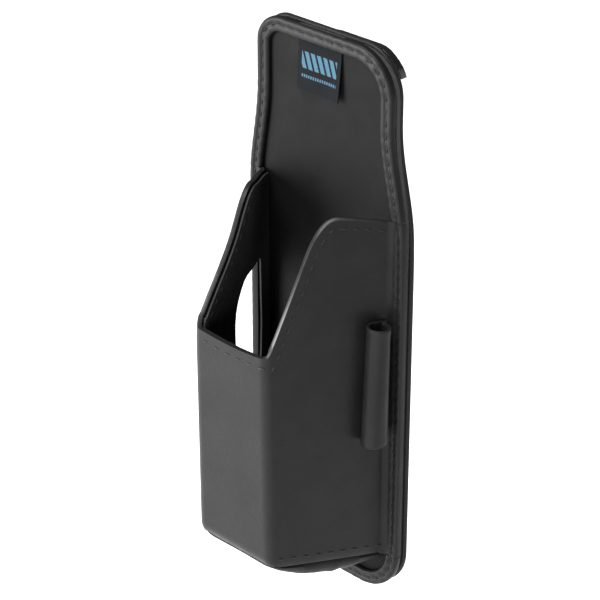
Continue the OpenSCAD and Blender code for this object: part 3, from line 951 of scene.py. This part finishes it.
def plated_steel(name, base, rough=0.28):
    """Plated steel with fine turning marks."""
    material, tree, shader = start_material(name)
    marks = object_noise(tree, 1800.0, 2.0)
    coat(tree, shader, marks, shade(base, 0.85), shade(base, 1.1), (rough * 0.8, rough * 1.4))
    shader.inputs["Metallic"].default_value = 1.0
    tree.links.new(raise_surface(tree, marks, 0.01, 0.5), shader.inputs["Normal"])
    return material


def pressed_board(name, base):
    """Fibre board with pressed fibres."""
    material, tree, shader = start_material(name)
    fibre = object_noise(tree, 700.0, 5.0, 0.7)
    coat(tree, shader, fibre, shade(base, 0.6), shade(base, 1.5), (0.8, 0.95))
    tree.links.new(raise_surface(tree, fibre, 0.08), shader.inputs["Normal"])
    return material


def floor_finish(name, base):
    """Pale studio paper with the faintest unevenness."""
    material, tree, shader = start_material(name)
    drift = object_noise(tree, 0.7, 2.0)
    paper = blend_colours(tree, drift, shade(base, 0.995), shade(base, 1.0))
    tree.links.new(paper, shader.inputs["Base Color"])
    shader.inputs["Roughness"].default_value = 0.9
    shader.inputs["Specular IOR Level"].default_value = 0.1
    shader.inputs["Emission Color"].default_value = (1.0, 1.0, 1.0, 1.0)
    shader.inputs["Emission Strength"].default_value = 0.42
    return material


def recoat(node_name, material):
    """Gives a carried-over CAD node its material."""
    mesh = frame["nodes"][node_name].data
    if not mesh.materials:
        mesh.materials.append(material)
    for i in range(len(mesh.materials)):
        mesh.materials[i] = material


# ---------------------------------------------------------------- stitches

def stitch_tree():
    """Geometry Nodes tree that lays one rounded thread at each step along a path."""
    tree = bpy.data.node_groups.new("holster_stitches", "GeometryNodeTree")
    face = tree.interface
    face.new_socket("Path", in_out="INPUT", socket_type="NodeSocketGeometry")
    for name, default in (("Pitch", 0.0044), ("Stitch Length", 0.003), ("Thread", 0.0009), ("Dip", 0.0004)):
        socket = face.new_socket(name, in_out="INPUT", socket_type="NodeSocketFloat")
        socket.default_value = default
        socket.subtype = "DISTANCE"
    for name, default in (("Sides", 8), ("Seed", 3)):
        face.new_socket(name, in_out="INPUT", socket_type="NodeSocketInt").default_value = default
    face.new_socket("Material", in_out="INPUT", socket_type="NodeSocketMaterial")
    face.new_socket("Stitches", in_out="OUTPUT", socket_type="NodeSocketGeometry")
    new, link = tree.nodes.new, tree.links.new
    given, result = new("NodeGroupInput"), new("NodeGroupOutput")

    curve, steps = new("GeometryNodeMeshToCurve"), new("GeometryNodeResampleCurve")
    steps.mode = "LENGTH"
    link(given.outputs["Path"], curve.inputs["Mesh"])
    link(curve.outputs["Curve"], steps.inputs["Curve"])
    link(given.outputs["Pitch"], steps.inputs["Length"])

    line, fine = new("GeometryNodeCurvePrimitiveLine"), new("GeometryNodeResampleCurve")
    for end, share in (("Start", -0.5), ("End", 0.5)):
        at = new("ShaderNodeCombineXYZ")
        link(maths(tree, "MULTIPLY", given.outputs["Stitch Length"], share), at.inputs["X"])
        link(at.outputs[0], line.inputs[end])
    fine.mode = "COUNT"
    fine.inputs["Count"].default_value = 7
    link(line.outputs["Curve"], fine.inputs["Curve"])

    along = new("GeometryNodeSplineParameter")
    centred = maths(tree, "MULTIPLY_ADD", along.outputs["Factor"], 2.0, -1.0)
    square = maths(tree, "MULTIPLY", centred, centred)
    fat = maths(tree, "MULTIPLY_ADD", square, -0.45, 1.0)
    drop = maths(tree, "MULTIPLY", square, given.outputs["Dip"])
    move = new("ShaderNodeCombineXYZ")
    link(maths(tree, "MULTIPLY", drop, -1.0), move.inputs["Z"])
    arched = new("GeometryNodeSetPosition")
    link(fine.outputs["Curve"], arched.inputs["Geometry"])
    link(move.outputs[0], arched.inputs["Offset"])
    thick = new("GeometryNodeSetCurveRadius")
    link(arched.outputs["Geometry"], thick.inputs["Curve"])
    link(fat, thick.inputs["Radius"])
    profile = new("GeometryNodeCurvePrimitiveCircle")
    link(maths(tree, "MULTIPLY", given.outputs["Thread"], 0.5), profile.inputs["Radius"])
    link(given.outputs["Sides"], profile.inputs["Resolution"])
    body = new("GeometryNodeCurveToMesh")
    link(thick.outputs["Curve"], body.inputs["Curve"])
    link(profile.outputs["Curve"], body.inputs["Profile Curve"])
    body.inputs["Fill Caps"].default_value = True
    if "Scale" in body.inputs:
        link(fat, body.inputs["Scale"])

    tangent, up = new("GeometryNodeInputTangent"), new("GeometryNodeInputNamedAttribute")
    up.data_type = "FLOAT_VECTOR"
    up.inputs["Name"].default_value = "up"
    turn = new("FunctionNodeAxesToRotation")
    turn.primary_axis = "X"
    turn.secondary_axis = "Z"
    link(tangent.outputs[0], turn.inputs["Primary Axis"])
    link(up.outputs[0], turn.inputs["Secondary Axis"])
    wobble = new("FunctionNodeRandomValue")
    wobble.data_type = "FLOAT_VECTOR"
    wobble.inputs[0].default_value = (-0.03, -0.03, -0.07)
    wobble.inputs[1].default_value = (0.03, 0.03, 0.07)
    link(given.outputs["Seed"], wobble.inputs["Seed"])
    tilt = new("FunctionNodeRotateRotation")
    tilt.rotation_space = "LOCAL"
    link(turn.outputs[0], tilt.inputs[0])
    link(wobble.outputs[0], tilt.inputs[1])
    place = new("GeometryNodeInstanceOnPoints")
    link(steps.outputs["Curve"], place.inputs["Points"])
    link(body.outputs["Mesh"], place.inputs["Instance"])
    link(tilt.outputs[0], place.inputs["Rotation"])
    real, coat = new("GeometryNodeRealizeInstances"), new("GeometryNodeSetMaterial")
    link(place.outputs["Instances"], real.inputs["Geometry"])
    link(real.outputs["Geometry"], coat.inputs["Geometry"])
    link(given.outputs["Material"], coat.inputs["Material"])
    link(coat.outputs["Geometry"], result.inputs["Stitches"])
    return tree


def stitches(name, rows, material, s, seed, thick, dip=0.45):
    """Stitched rows as one plain mesh. A row is (points, directions away from the surface, closed)."""
    points, ups, edges = [], [], []
    for row, away, closed in rows:
        base = len(points)
        points += [tuple(p) for p in row]
        ups += [tuple(a) for a in away]
        edges += [(base + i, base + i + 1) for i in range(len(row) - 1)]
        if closed:
            edges.append((base + len(row) - 1, base))
    mesh = bpy.data.meshes.new(name)
    mesh.from_pydata(points, edges, [])
    attribute = mesh.attributes.new("up", "FLOAT_VECTOR", "POINT")
    attribute.data.foreach_set("vector", np.array(ups, float).ravel())
    obj = scene_object(name, mesh)
    tree = bpy.data.node_groups.get("holster_stitches") or stitch_tree()
    laid = obj.modifiers.new("stitches", "NODES")
    laid.node_group = tree
    values = {"Pitch": s.stitch_pitch * MM, "Stitch Length": s.stitch_l * MM, "Thread": thick * MM,
              "Dip": dip * MM, "Sides": s.stitch_sides, "Seed": seed, "Material": material}
    for item in tree.interface.items_tree:
        if item.item_type == "SOCKET" and item.in_out == "INPUT" and item.name in values:
            laid[item.identifier] = values[item.name]
    bake_modifiers(obj)
    if not obj.data.polygons:
        raise RuntimeError(name + " made no stitches")
    clean(obj.data, 1e-7)
    obj.data.shade_smooth()
    return obj


def wall_row(s, side, starts, ends, height, t, out):
    """Row on a side wall: height gives z from the distance along the wall."""
    where = np.linspace(starts, ends, 90)
    z = np.array([height(a) for a in where])
    x, y = wall_point(s, where, z, t)
    a = wall_angle(s, z)
    away = np.stack([side * out * np.cos(a), -out * np.sin(a), 0 * z], axis=1)
    x = x + spread(s, side, z, where)
    return on_panel(np.stack([side * x, y, z], axis=1)), away, False


def below_mouth(s, along):
    """Height of the stitches that follow the mouth's edge."""
    slope = (mouth_height(s, along + 0.4) - mouth_height(s, along - 0.4)) / 0.8
    return mouth_height(s, along) - s.mouth_in * min(math.hypot(1.0, slope), 2.6)


def mouth_rows(s):
    """Rows outside and inside the mouth of both walls and across the front."""
    deep = s.leather_t + s.sheet_t + s.lining_t
    reach = wall_length(s)
    rows = []
    for side in (1, -1):
        rows.append(wall_row(s, side, 3.0, reach - 2.4, lambda a: below_mouth(s, a), -0.02, 1))
        rows.append(wall_row(s, side, 4.0, reach - 3.0, lambda a: below_mouth(s, a), deep + 0.02, -1))
    z = s.front_top - 0.7 - s.mouth_in
    span = float(front_half(s, z)) - s.fold_r * 0.6
    x = np.linspace(-span, span, 40)
    for y, out in ((-s.pocket_d - 0.02, -1), (-s.pocket_d + deep + 0.02, 1)):
        points = np.stack([x, np.full_like(x, y), z + 0.7 * (x / span) ** 2], axis=1)
        rows.append((on_panel(points), np.tile((0.0, out, 0.0), (len(x), 1)), False))
    return rows


# ---------------------------------------------------------------- the pieces

def aim(obj, place, target):
    """Puts a light or the camera at a place and turns it to a target."""
    obj.location = Vector(place)
    obj.rotation_euler = (Vector(target) - Vector(place)).to_track_quat("-Z", "Y").to_euler()


def soft_light(name, place, target, width, height, watts):
    """Rectangular studio light."""
    data = bpy.data.lights.new(name, "AREA")
    data.shape = "RECTANGLE"
    data.size = width
    data.size_y = height
    data.energy = watts
    aim(scene_object(name, data), place, target)


CAMERA_PLACE = (0.46054, -0.49694, 0.29747)
CAMERA_TARGET = (-0.01118, -0.0154, -0.05623)
CAMERA_LENS = 134.4
FLOOR_DROP = 0.09
# name, place, target, width, height and watts of each studio light
LIGHTS = [
    ("key", (-0.72, -1.03, 0.20), (0, -0.03, -0.08), 0.8, 0.8, 44.0),
    ("overhead", (-0.05, -0.45, 1.05), (0, -0.03, -0.06), 0.7, 0.7, 24.0),
    ("side", (0.75, -1.1, -0.02), (0, -0.03, -0.09), 0.5, 0.5, 5.5),
    ("rim", (1.2, 0.28, 0.10), (0, -0.02, -0.07), 0.3, 0.6, 1.4),
]


def build_stage():
    """Camera, pale floor and soft studio light."""
    camera = bpy.data.cameras.new("camera")
    camera.lens = CAMERA_LENS
    camera.sensor_width = 36.0
    camera.clip_start = 0.01
    eye = scene_object("camera", camera)
    aim(eye, CAMERA_PLACE, CAMERA_TARGET)
    bpy.context.scene.camera = eye
    bpy.context.scene.view_settings.view_transform = "Standard"
    world = bpy.data.worlds.new("studio")
    world.use_nodes = True
    world.node_tree.nodes["Background"].inputs["Color"].default_value = (1.0, 1.0, 1.0, 1.0)
    world.node_tree.nodes["Background"].inputs["Strength"].default_value = 0.06
    bpy.context.scene.world = world
    z = PANEL_FOOT - FLOOR_DROP
    mesh = bpy.data.meshes.new("floor")
    mesh.from_pydata([(-9, -9, z), (9, -9, z), (9, 9, z), (-9, 9, z)], [], [(0, 1, 2, 3)])
    mesh.materials.append(floor_finish("studio_paper", tint("floor")))
    floor = scene_object("floor", mesh)
    for light in LIGHTS:
        soft_light(*light)


def build_back_panel():
    """Rear leather, inner leather, border strip and the board between them."""
    s = sizes()
    g = s.edge_groove
    rear_y = s.border_t + s.inner_t + s.board_t
    rear = layer_object(s, "back_leather", [
        (6.0, rear_y), (1.4, rear_y), (0.6, rear_y + 0.06), (0.15, rear_y + 0.4), (0.0, rear_y + 0.9),
        (0.06, rear_y + 1.4), (0.4, PANEL_REAR - 0.14), (1.1, PANEL_REAR), (2.2, PANEL_REAR - 0.08),
        (2.8, PANEL_REAR - 0.3), (3.4, PANEL_REAR - 0.08), (4.4, PANEL_REAR), (8.0, PANEL_REAR)],
        leather("black_leather", tint("leather")))
    hub = (0.0, PANEL_FACE + (PANEL_REAR - 1.0) * MM, 0.0)
    bore(rear, hub, HUB_R, 4.0)
    sharpen(rear, 50)
    declare(rear, "holster", "black_leather", "rear_panel")
    y = s.border_t
    inner = layer_object(s, "inner_leather", [
        (22.0, y - 0.16), (17.0, y - 0.14), (12.0, y - 0.1), (8.0, y - 0.04), (5.4, y + 0.02),
        (3.0, y + 0.03), (g + 0.2, y + 0.03), (g, y + 0.2), (g, y + s.inner_t)],
        leather("smooth_leather", tint("smooth"), 1500.0, 0.02, (0.50, 0.62), 0.035, 0.05), wave=0.10)
    declare(inner, "holster", "smooth_lining_leather", "inner_panel")
    border = leather("border_leather", shade(tint("leather"), 0.8), 1300.0, 0.035, (0.38, 0.5), 0.03)
    top = border_object(s, "border_upper", border, CUT_TOP, True)
    declare(top, "holster", "border_leather", "top_border")
    low = border_object(s, "border_foot", border, s.wall_bottom, False)
    declare(low, "holster", "border_leather", "bottom_border")
    recoat("stiffener_board", pressed_board("fibre_board", tint("board")))


def build_pocket():
    """Pocket leather with its flanges, the stiffening sheet and the lining."""
    s = sizes()
    skin = leather("pocket_leather", tint("leather"), 1150.0, 0.04, (0.34, 0.46), 0.05)
    wrap = pocket_object(s, "pocket_leather", skin, 0.0, s.leather_t, 0.0, 0.0, 170, True, 0.0)
    paint_rim_highlight(s, wrap)
    soften_edges(wrap, 0.5, 3, 45)
    declare(wrap, "holster", "black_leather", "pocket_wrap")
    t = s.leather_t
    sheet = pocket_object(s, "stiffening_sheet", pressed_board("stiffening_sheet", tint("sheet")),
                          t + 0.03, t + s.sheet_t - 0.03, 5.0, 5.0, 60, False, 3.5)
    declare(sheet, "holster", "stiffening_sheet", "wall_stiffener")
    lining = pocket_object(s, "pocket_lining", woven("pocket_lining", tint("lining")),
                           t + s.sheet_t, t + s.sheet_t + s.lining_t, 0.8, 3.9, 90, False, 0.6)
    soften_edges(lining, 0.2, 2, 45)
    declare(lining, "holster", "pocket_lining", "pocket_lining")


def gusset_depth(along):
    """How far the gusset hangs below the walls' bottom edge, by distance along the wall."""
    places = (0, 3, 6, 13, 19, 27, 33, 40, 45)
    depths = (0.3, 2.0, 4.0, 7.1, 8.6, 9.0, 8.2, 6.0, 4.6)
    return float(np.interp(along, places, depths))


def build_gusset():
    """Soft flap that closes the bottom and sags between the walls."""
    s = sizes()
    rows, cols = 60, 97
    start = 1.9
    end = wall_length(s) + 0.8
    flat_share = 0.92
    skins = empty_skins(cols, rows)
    deep = s.leather_t + s.sheet_t
    for j in range(rows):
        along = start + (end - start) * j / (rows - 1)
        edge = float(bottom_height(s, along))
        depth = gusset_depth(along)
        for i in range(cols):
            q = -1.0 + 2.0 * i / (cols - 1)
            side = 1 if q >= 0 else -1
            wide = float(spread(s, side, edge, along)) - 2.2 * math.exp(-(along - start) / 1.2)
            k = abs(q)
            u = min(1.0, k / flat_share)
            tuck = max(0.0, (k - flat_share) / (1.0 - flat_share))
            sag = depth * math.sqrt(max(0.0, 1.0 - u ** 6)) * (0.66 + 0.34 * u ** 2)
            crease = 0.3 * math.sin(0.62 * along + 2.2 * k + 0.9 * math.sin(0.45 * along))
            crease *= math.exp(-((k - 0.74) / 0.2) ** 2)
            crease *= math.exp(-((along - 26.0) / 9.0) ** 2)
            for skin, inner in zip(skins, (False, True)):
                t = 0.5 + (deep - 0.45) * min(1.0, tuck * 2.5)
                rise = -0.3 + 0.5 * min(1.0, tuck * 2.5) + 3.4 * max(0.0, tuck - 0.4) / 0.6
                if inner:
                    t = deep + 0.9
                    rise = s.gusset_t - 0.3 + (3.5 - s.gusset_t) * tuck
                x, y = wall_point(s, along, edge + 1.0, t)
                skin[i, j] = (side * (float(x) + wide) * u, float(y), edge + rise - sag + crease * u)
    # painted shade: the gusset takes the black leather darkened to three quarters, for the shade it hangs in
    # under the walls
    gusset_shade_tone = shade(tint("leather"), 0.75)
    flap = shell_object("bottom_flap", skins,
                        leather("gusset_leather", gusset_shade_tone, 1300.0, 0.05, (0.4, 0.55), 0.08))
    soften_edges(flap, 0.4, 2, 50)
    declare(flap, "holster", "gusset_leather", "bottom_gusset")


def build_stylus_loop():
    """Leather strip rolled into a tube, with its tail caught in the seam."""
    s = sizes()
    r = s.loop_bore / 2 + s.loop_t
    centre = wall_length(s) - s.loop_in
    outer, inner = [], []
    for u in np.linspace(wall_length(s) - 0.6, centre, 7)[:-1]:
        outer.append((u, 0.0))
        inner.append((u, s.loop_t))
    for a in np.linspace(-90, -90 - 316, 60):
        c, n = math.cos(math.radians(a)), math.sin(math.radians(a))
        outer.append((centre + r * c, r + r * n))
        inner.append((centre + (r - s.loop_t) * c, r + (r - s.loop_t) * n))
    rows = 26
    skins = empty_skins(len(outer), rows)
    for skin, path in zip(skins, (outer, inner)):
        for i, (u, w) in enumerate(path):
            top = s.loop_low + s.loop_len + 0.25 * (centre - u) / r
            for j in range(rows):
                k = j / (rows - 1)
                z = s.loop_low + (top - s.loop_low) * k
                flare = 1.0 + 0.05 * math.exp(-((1 - k) * 22) ** 2) + 0.03 * math.exp(-(k * 22) ** 2)
                lean = 2.4 * (1 - k) * min(1.0, max(0.0, (wall_length(s) - u) / s.loop_in))
                where = np.array(centre + (u - centre) * flare - lean)
                x, y = wall_point(s, where, np.array(z), -w * flare - 0.02)
                skin[i, j] = (float(x), float(y), z)
    tone = shade(tint("leather"), 1.05)
    loop = shell_object("stylus_loop_leather", skins,
                        leather("loop_leather", tone, 1250.0, 0.035, (0.36, 0.46), 0.03))
    soften_edges(loop, 0.25, 2, 45)
    declare(loop, "holster", "black_leather", "stylus_loop")


def build_label():
    """Woven label held under the border, hanging a little clear of the panel."""
    s = sizes()
    top = s.panel_h - s.border_w + s.label_tuck
    fold = s.panel_h - s.border_w
    rows, cols = 41, 25
    skins = empty_skins(cols, rows)
    for j in range(rows):
        drop = (s.label_tuck + s.label_h) * j / (rows - 1)
        z = top - drop
        k = max(0.0, (fold - z) / s.label_h)
        stand = 1.2 * k ** 1.4
        for i in range(cols):
            q = -1.0 + 2.0 * i / (cols - 1)
            x = LABEL_X + q * s.label_w / 2
            y = s.border_t - s.label_t - stand - 0.55 * k * max(0.0, q) ** 2 + 0.12 * k * math.sin(4 * q)
            skins[0][i, j] = (x, y, z + 0.12 * k * q)
            skins[1][i, j] = (x, y + s.label_t - 0.02, z + 0.12 * k * q)
    cloth = label_cloth("label_cloth", tint("label_ground"), tint("label_bars"))
    label = shell_object("woven_label", skins, cloth)
    sharpen(label, 60)
    layer = label.data.uv_layers.new(name="label")
    for loop in label.data.loops:
        p = label.data.vertices[loop.vertex_index].co
        u = (p.x / MM - LABEL_X) / s.label_w + 0.5
        v = ((p.z - PANEL_FOOT) / MM - (top - s.label_tuck - s.label_h)) / (s.label_tuck + s.label_h)
        layer.data[loop.index].uv = (u, v)
    declare(label, "holster", "woven_label", "label_tab")


def build_stitching():
    """Thread of the edge, the mouth and the gusset."""
    s = sizes()
    dark = twisted_thread("edge_thread", tint("thread"))
    pale = twisted_thread("mouth_thread", tint("pale_thread"))
    path = ring(s, s.edge_in)
    front = on_panel([(x, 0.5, z) for x, z in path])
    rear = on_panel([(x, PANEL_REAR - 0.26, z) for x, z in path])
    rows = [(front, [(0, -1, 0)] * len(path), True), (rear, [(0, 1, 0)] * len(path), True)]
    edge = stitches("edge_thread", rows, dark, s, 5, s.thread_d)
    declare(edge, "holster", "thread", "edge_stitching")
    mouth = stitches("mouth_thread", mouth_rows(s), pale, s, 7, s.fine_d)
    declare(mouth, "holster", "thread", "mouth_stitching")
    low = [wall_row(s, side, 4.0, wall_length(s) - 2.5, lambda a: float(bottom_height(s, a)) + 3.4, -0.02, 1)
           for side in (1, -1)]
    foot = stitches("gusset_thread", low, pale, s, 9, s.fine_d)
    declare(foot, "holster", "thread", "gusset_stitching")


def rounded_square(half, r, steps=8):
    """Corner-rounded square as a ring of points."""
    points = []
    for k in range(4):
        cx = (half - r) * (1, -1, -1, 1)[k]
        cz = (half - r) * (1, 1, -1, -1)[k]
        for a in np.linspace(90 * k, 90 * k + 90, steps):
            points.append((cx + r * math.cos(math.radians(a)), cz + r * math.sin(math.radians(a))))
    return points


def build_swivel():
    """Leather patch with its stitches, and finishes for the stud and its washers."""
    s = sizes()
    half = s.patch_w / 2
    y = PANEL_REAR
    section = [(8.0, y), (0.5, y), (0.0, y + 0.5), (0.1, y + 1.1), (0.5, y + s.patch_t - 0.1),
               (1.2, y + s.patch_t), (2.3, y + s.patch_t - 0.04), (2.8, y + s.patch_t - 0.22),
               (3.3, y + s.patch_t - 0.04), (4.2, y + s.patch_t), (8.0, y + s.patch_t)]
    points = []
    for d, depth in section:
        points += [(x, depth, z + HUB_Z) for x, z in rounded_square(half - d, max(6.0 - d, 1.0))]
    n = len(points) // len(section)
    patch = new_object("patch_leather", on_panel(points), capped_rings(len(section), n),
                       leather("patch_leather", tint("leather"), 1250.0, 0.045, (0.38, 0.5), 0.05))
    bore(patch, (0.0, PANEL_FACE + (PANEL_REAR + 0.8) * MM, 0.0), HUB_R, 3.0)
    sharpen(patch, 50)
    declare(patch, "holster", "black_leather", "clip_patch")
    row = rounded_square(half - s.edge_in, 3.5)
    path = on_panel([(x, y + s.patch_t - 0.16, z + HUB_Z) for x, z in row])
    thread = stitches("patch_thread", [(path, [(0, 1, 0)] * n, True)],
                      twisted_thread("patch_thread", tint("thread")), s, 11, s.thread_d)
    declare(thread, "holster", "thread", "patch_stitching")
    steel = plated_steel("plated_steel", tint("steel"))
    for part in ("swivel_stud", "retaining_washer", "hinge_pin"):
        recoat(part, steel)
    recoat("spacer_washer", moulded_plastic("nylon", tint("nylon"), 0.4))
    recoat("clip_spring", plated_steel("spring_wire", shade(tint("steel"), 0.85), 0.35))


def softened_copy(part, name, material, width):
    """Copy of a CAD node with its flats merged and its edges rounded."""
    source = frame["nodes"][part]
    mesh = source.data.copy()
    mesh.name = name
    mesh.transform(source.matrix_world)
    clean(mesh, 1e-6)
    bm = bmesh.new()
    bm.from_mesh(mesh)
    bmesh.ops.dissolve_limit(bm, angle_limit=math.radians(0.6), verts=bm.verts, edges=bm.edges)
    bm.to_mesh(mesh)
    bm.free()
    mesh.materials.clear()
    mesh.materials.append(material)
    mesh.shade_smooth()
    obj = scene_object(name, mesh)
    soften_edges(obj, width, 3, 35)
    return obj


def build_belt_clip():
    """Clip base and lever with rounded edges."""
    plastic = moulded_plastic("clip_plastic", tint("plastic"))
    base = softened_copy("clip_base", "clip_base_moulding", plastic, 0.45)
    declare(base, "clip", "clip_plastic", "clip_base")
    lever = softened_copy("clip_lever", "clip_lever_moulding", plastic, 0.5)
    declare(lever, "lever", "clip_plastic", "clip_lever")


# ---------------------------------------------------------------- operators and panel

def piece_operator(key, label, text, make):
    """Makes an operator class that builds one group of pieces."""
    def execute(self, context):
        before = len(bpy.data.objects)
        make()
        if len(bpy.data.objects) <= before:
            raise RuntimeError(label + " added nothing")
        return {"FINISHED"}
    return type("HOLSTER_OT_" + key, (bpy.types.Operator,), {
        "bl_idname": "holster." + key, "bl_label": label, "__doc__": text, "execute": execute})


PIECES = [
    ("build_stage", "Stage", "Camera, pale floor and soft studio light", build_stage),
    ("build_back_panel", "Back panel", "Leathers, board and border of the back panel", build_back_panel),
    ("build_pocket", "Pocket", "Pocket leather, stiffening sheet and lining", build_pocket),
    ("build_gusset", "Gusset", "Soft flap that closes the bottom", build_gusset),
    ("build_stylus_loop", "Stylus loop", "Rolled leather loop on the side wall", build_stylus_loop),
    ("build_label", "Label", "Woven label under the border", build_label),
    ("build_stitching", "Stitching", "Thread of the edge, the mouth and the gusset", build_stitching),
    ("build_swivel", "Swivel", "Leather patch, stud and washers", build_swivel),
    ("build_belt_clip", "Belt clip", "Clip base and lever", build_belt_clip),
]
OPERATORS = [piece_operator(*piece) for piece in PIECES]


class HOLSTER_PT_builder(bpy.types.Panel):
    """Lists the holster's builders in the 3D view's sidebar."""
    bl_label = "Leather Belt Holster"
    bl_idname = "HOLSTER_PT_builder"
    bl_space_type = "VIEW_3D"
    bl_region_type = "UI"
    bl_category = "Holster"

    def draw(self, context):
        for operator in OPERATORS:
            self.layout.operator(operator.bl_idname)


CLASSES = [*GROUPS.values(), HolsterColours, *OPERATORS, HOLSTER_PT_builder]


def register():
    """Registers the classes and puts the property groups on the scene."""
    for cls in CLASSES:
        bpy.utils.register_class(cls)
    for name, group in GROUPS.items():
        setattr(bpy.types.Scene, name, PointerProperty(type=group))
    bpy.types.Scene.holster_colours = PointerProperty(type=HolsterColours)


def unregister():
    """Takes the property groups and classes away again."""
    for name in (*GROUPS, "holster_colours"):
        delattr(bpy.types.Scene, name)
    for cls in reversed(CLASSES):
        bpy.utils.unregister_class(cls)


def plain(box):
    """A box as plain lists of numbers."""
    return [[float(v) for v in corner] for corner in box]


def main():
    """Builds everything in order and writes the two boxes."""
    register()
    for key, _, _, _ in PIECES:
        getattr(bpy.ops.holster, key)()


if __name__ == "__main__":
    main()
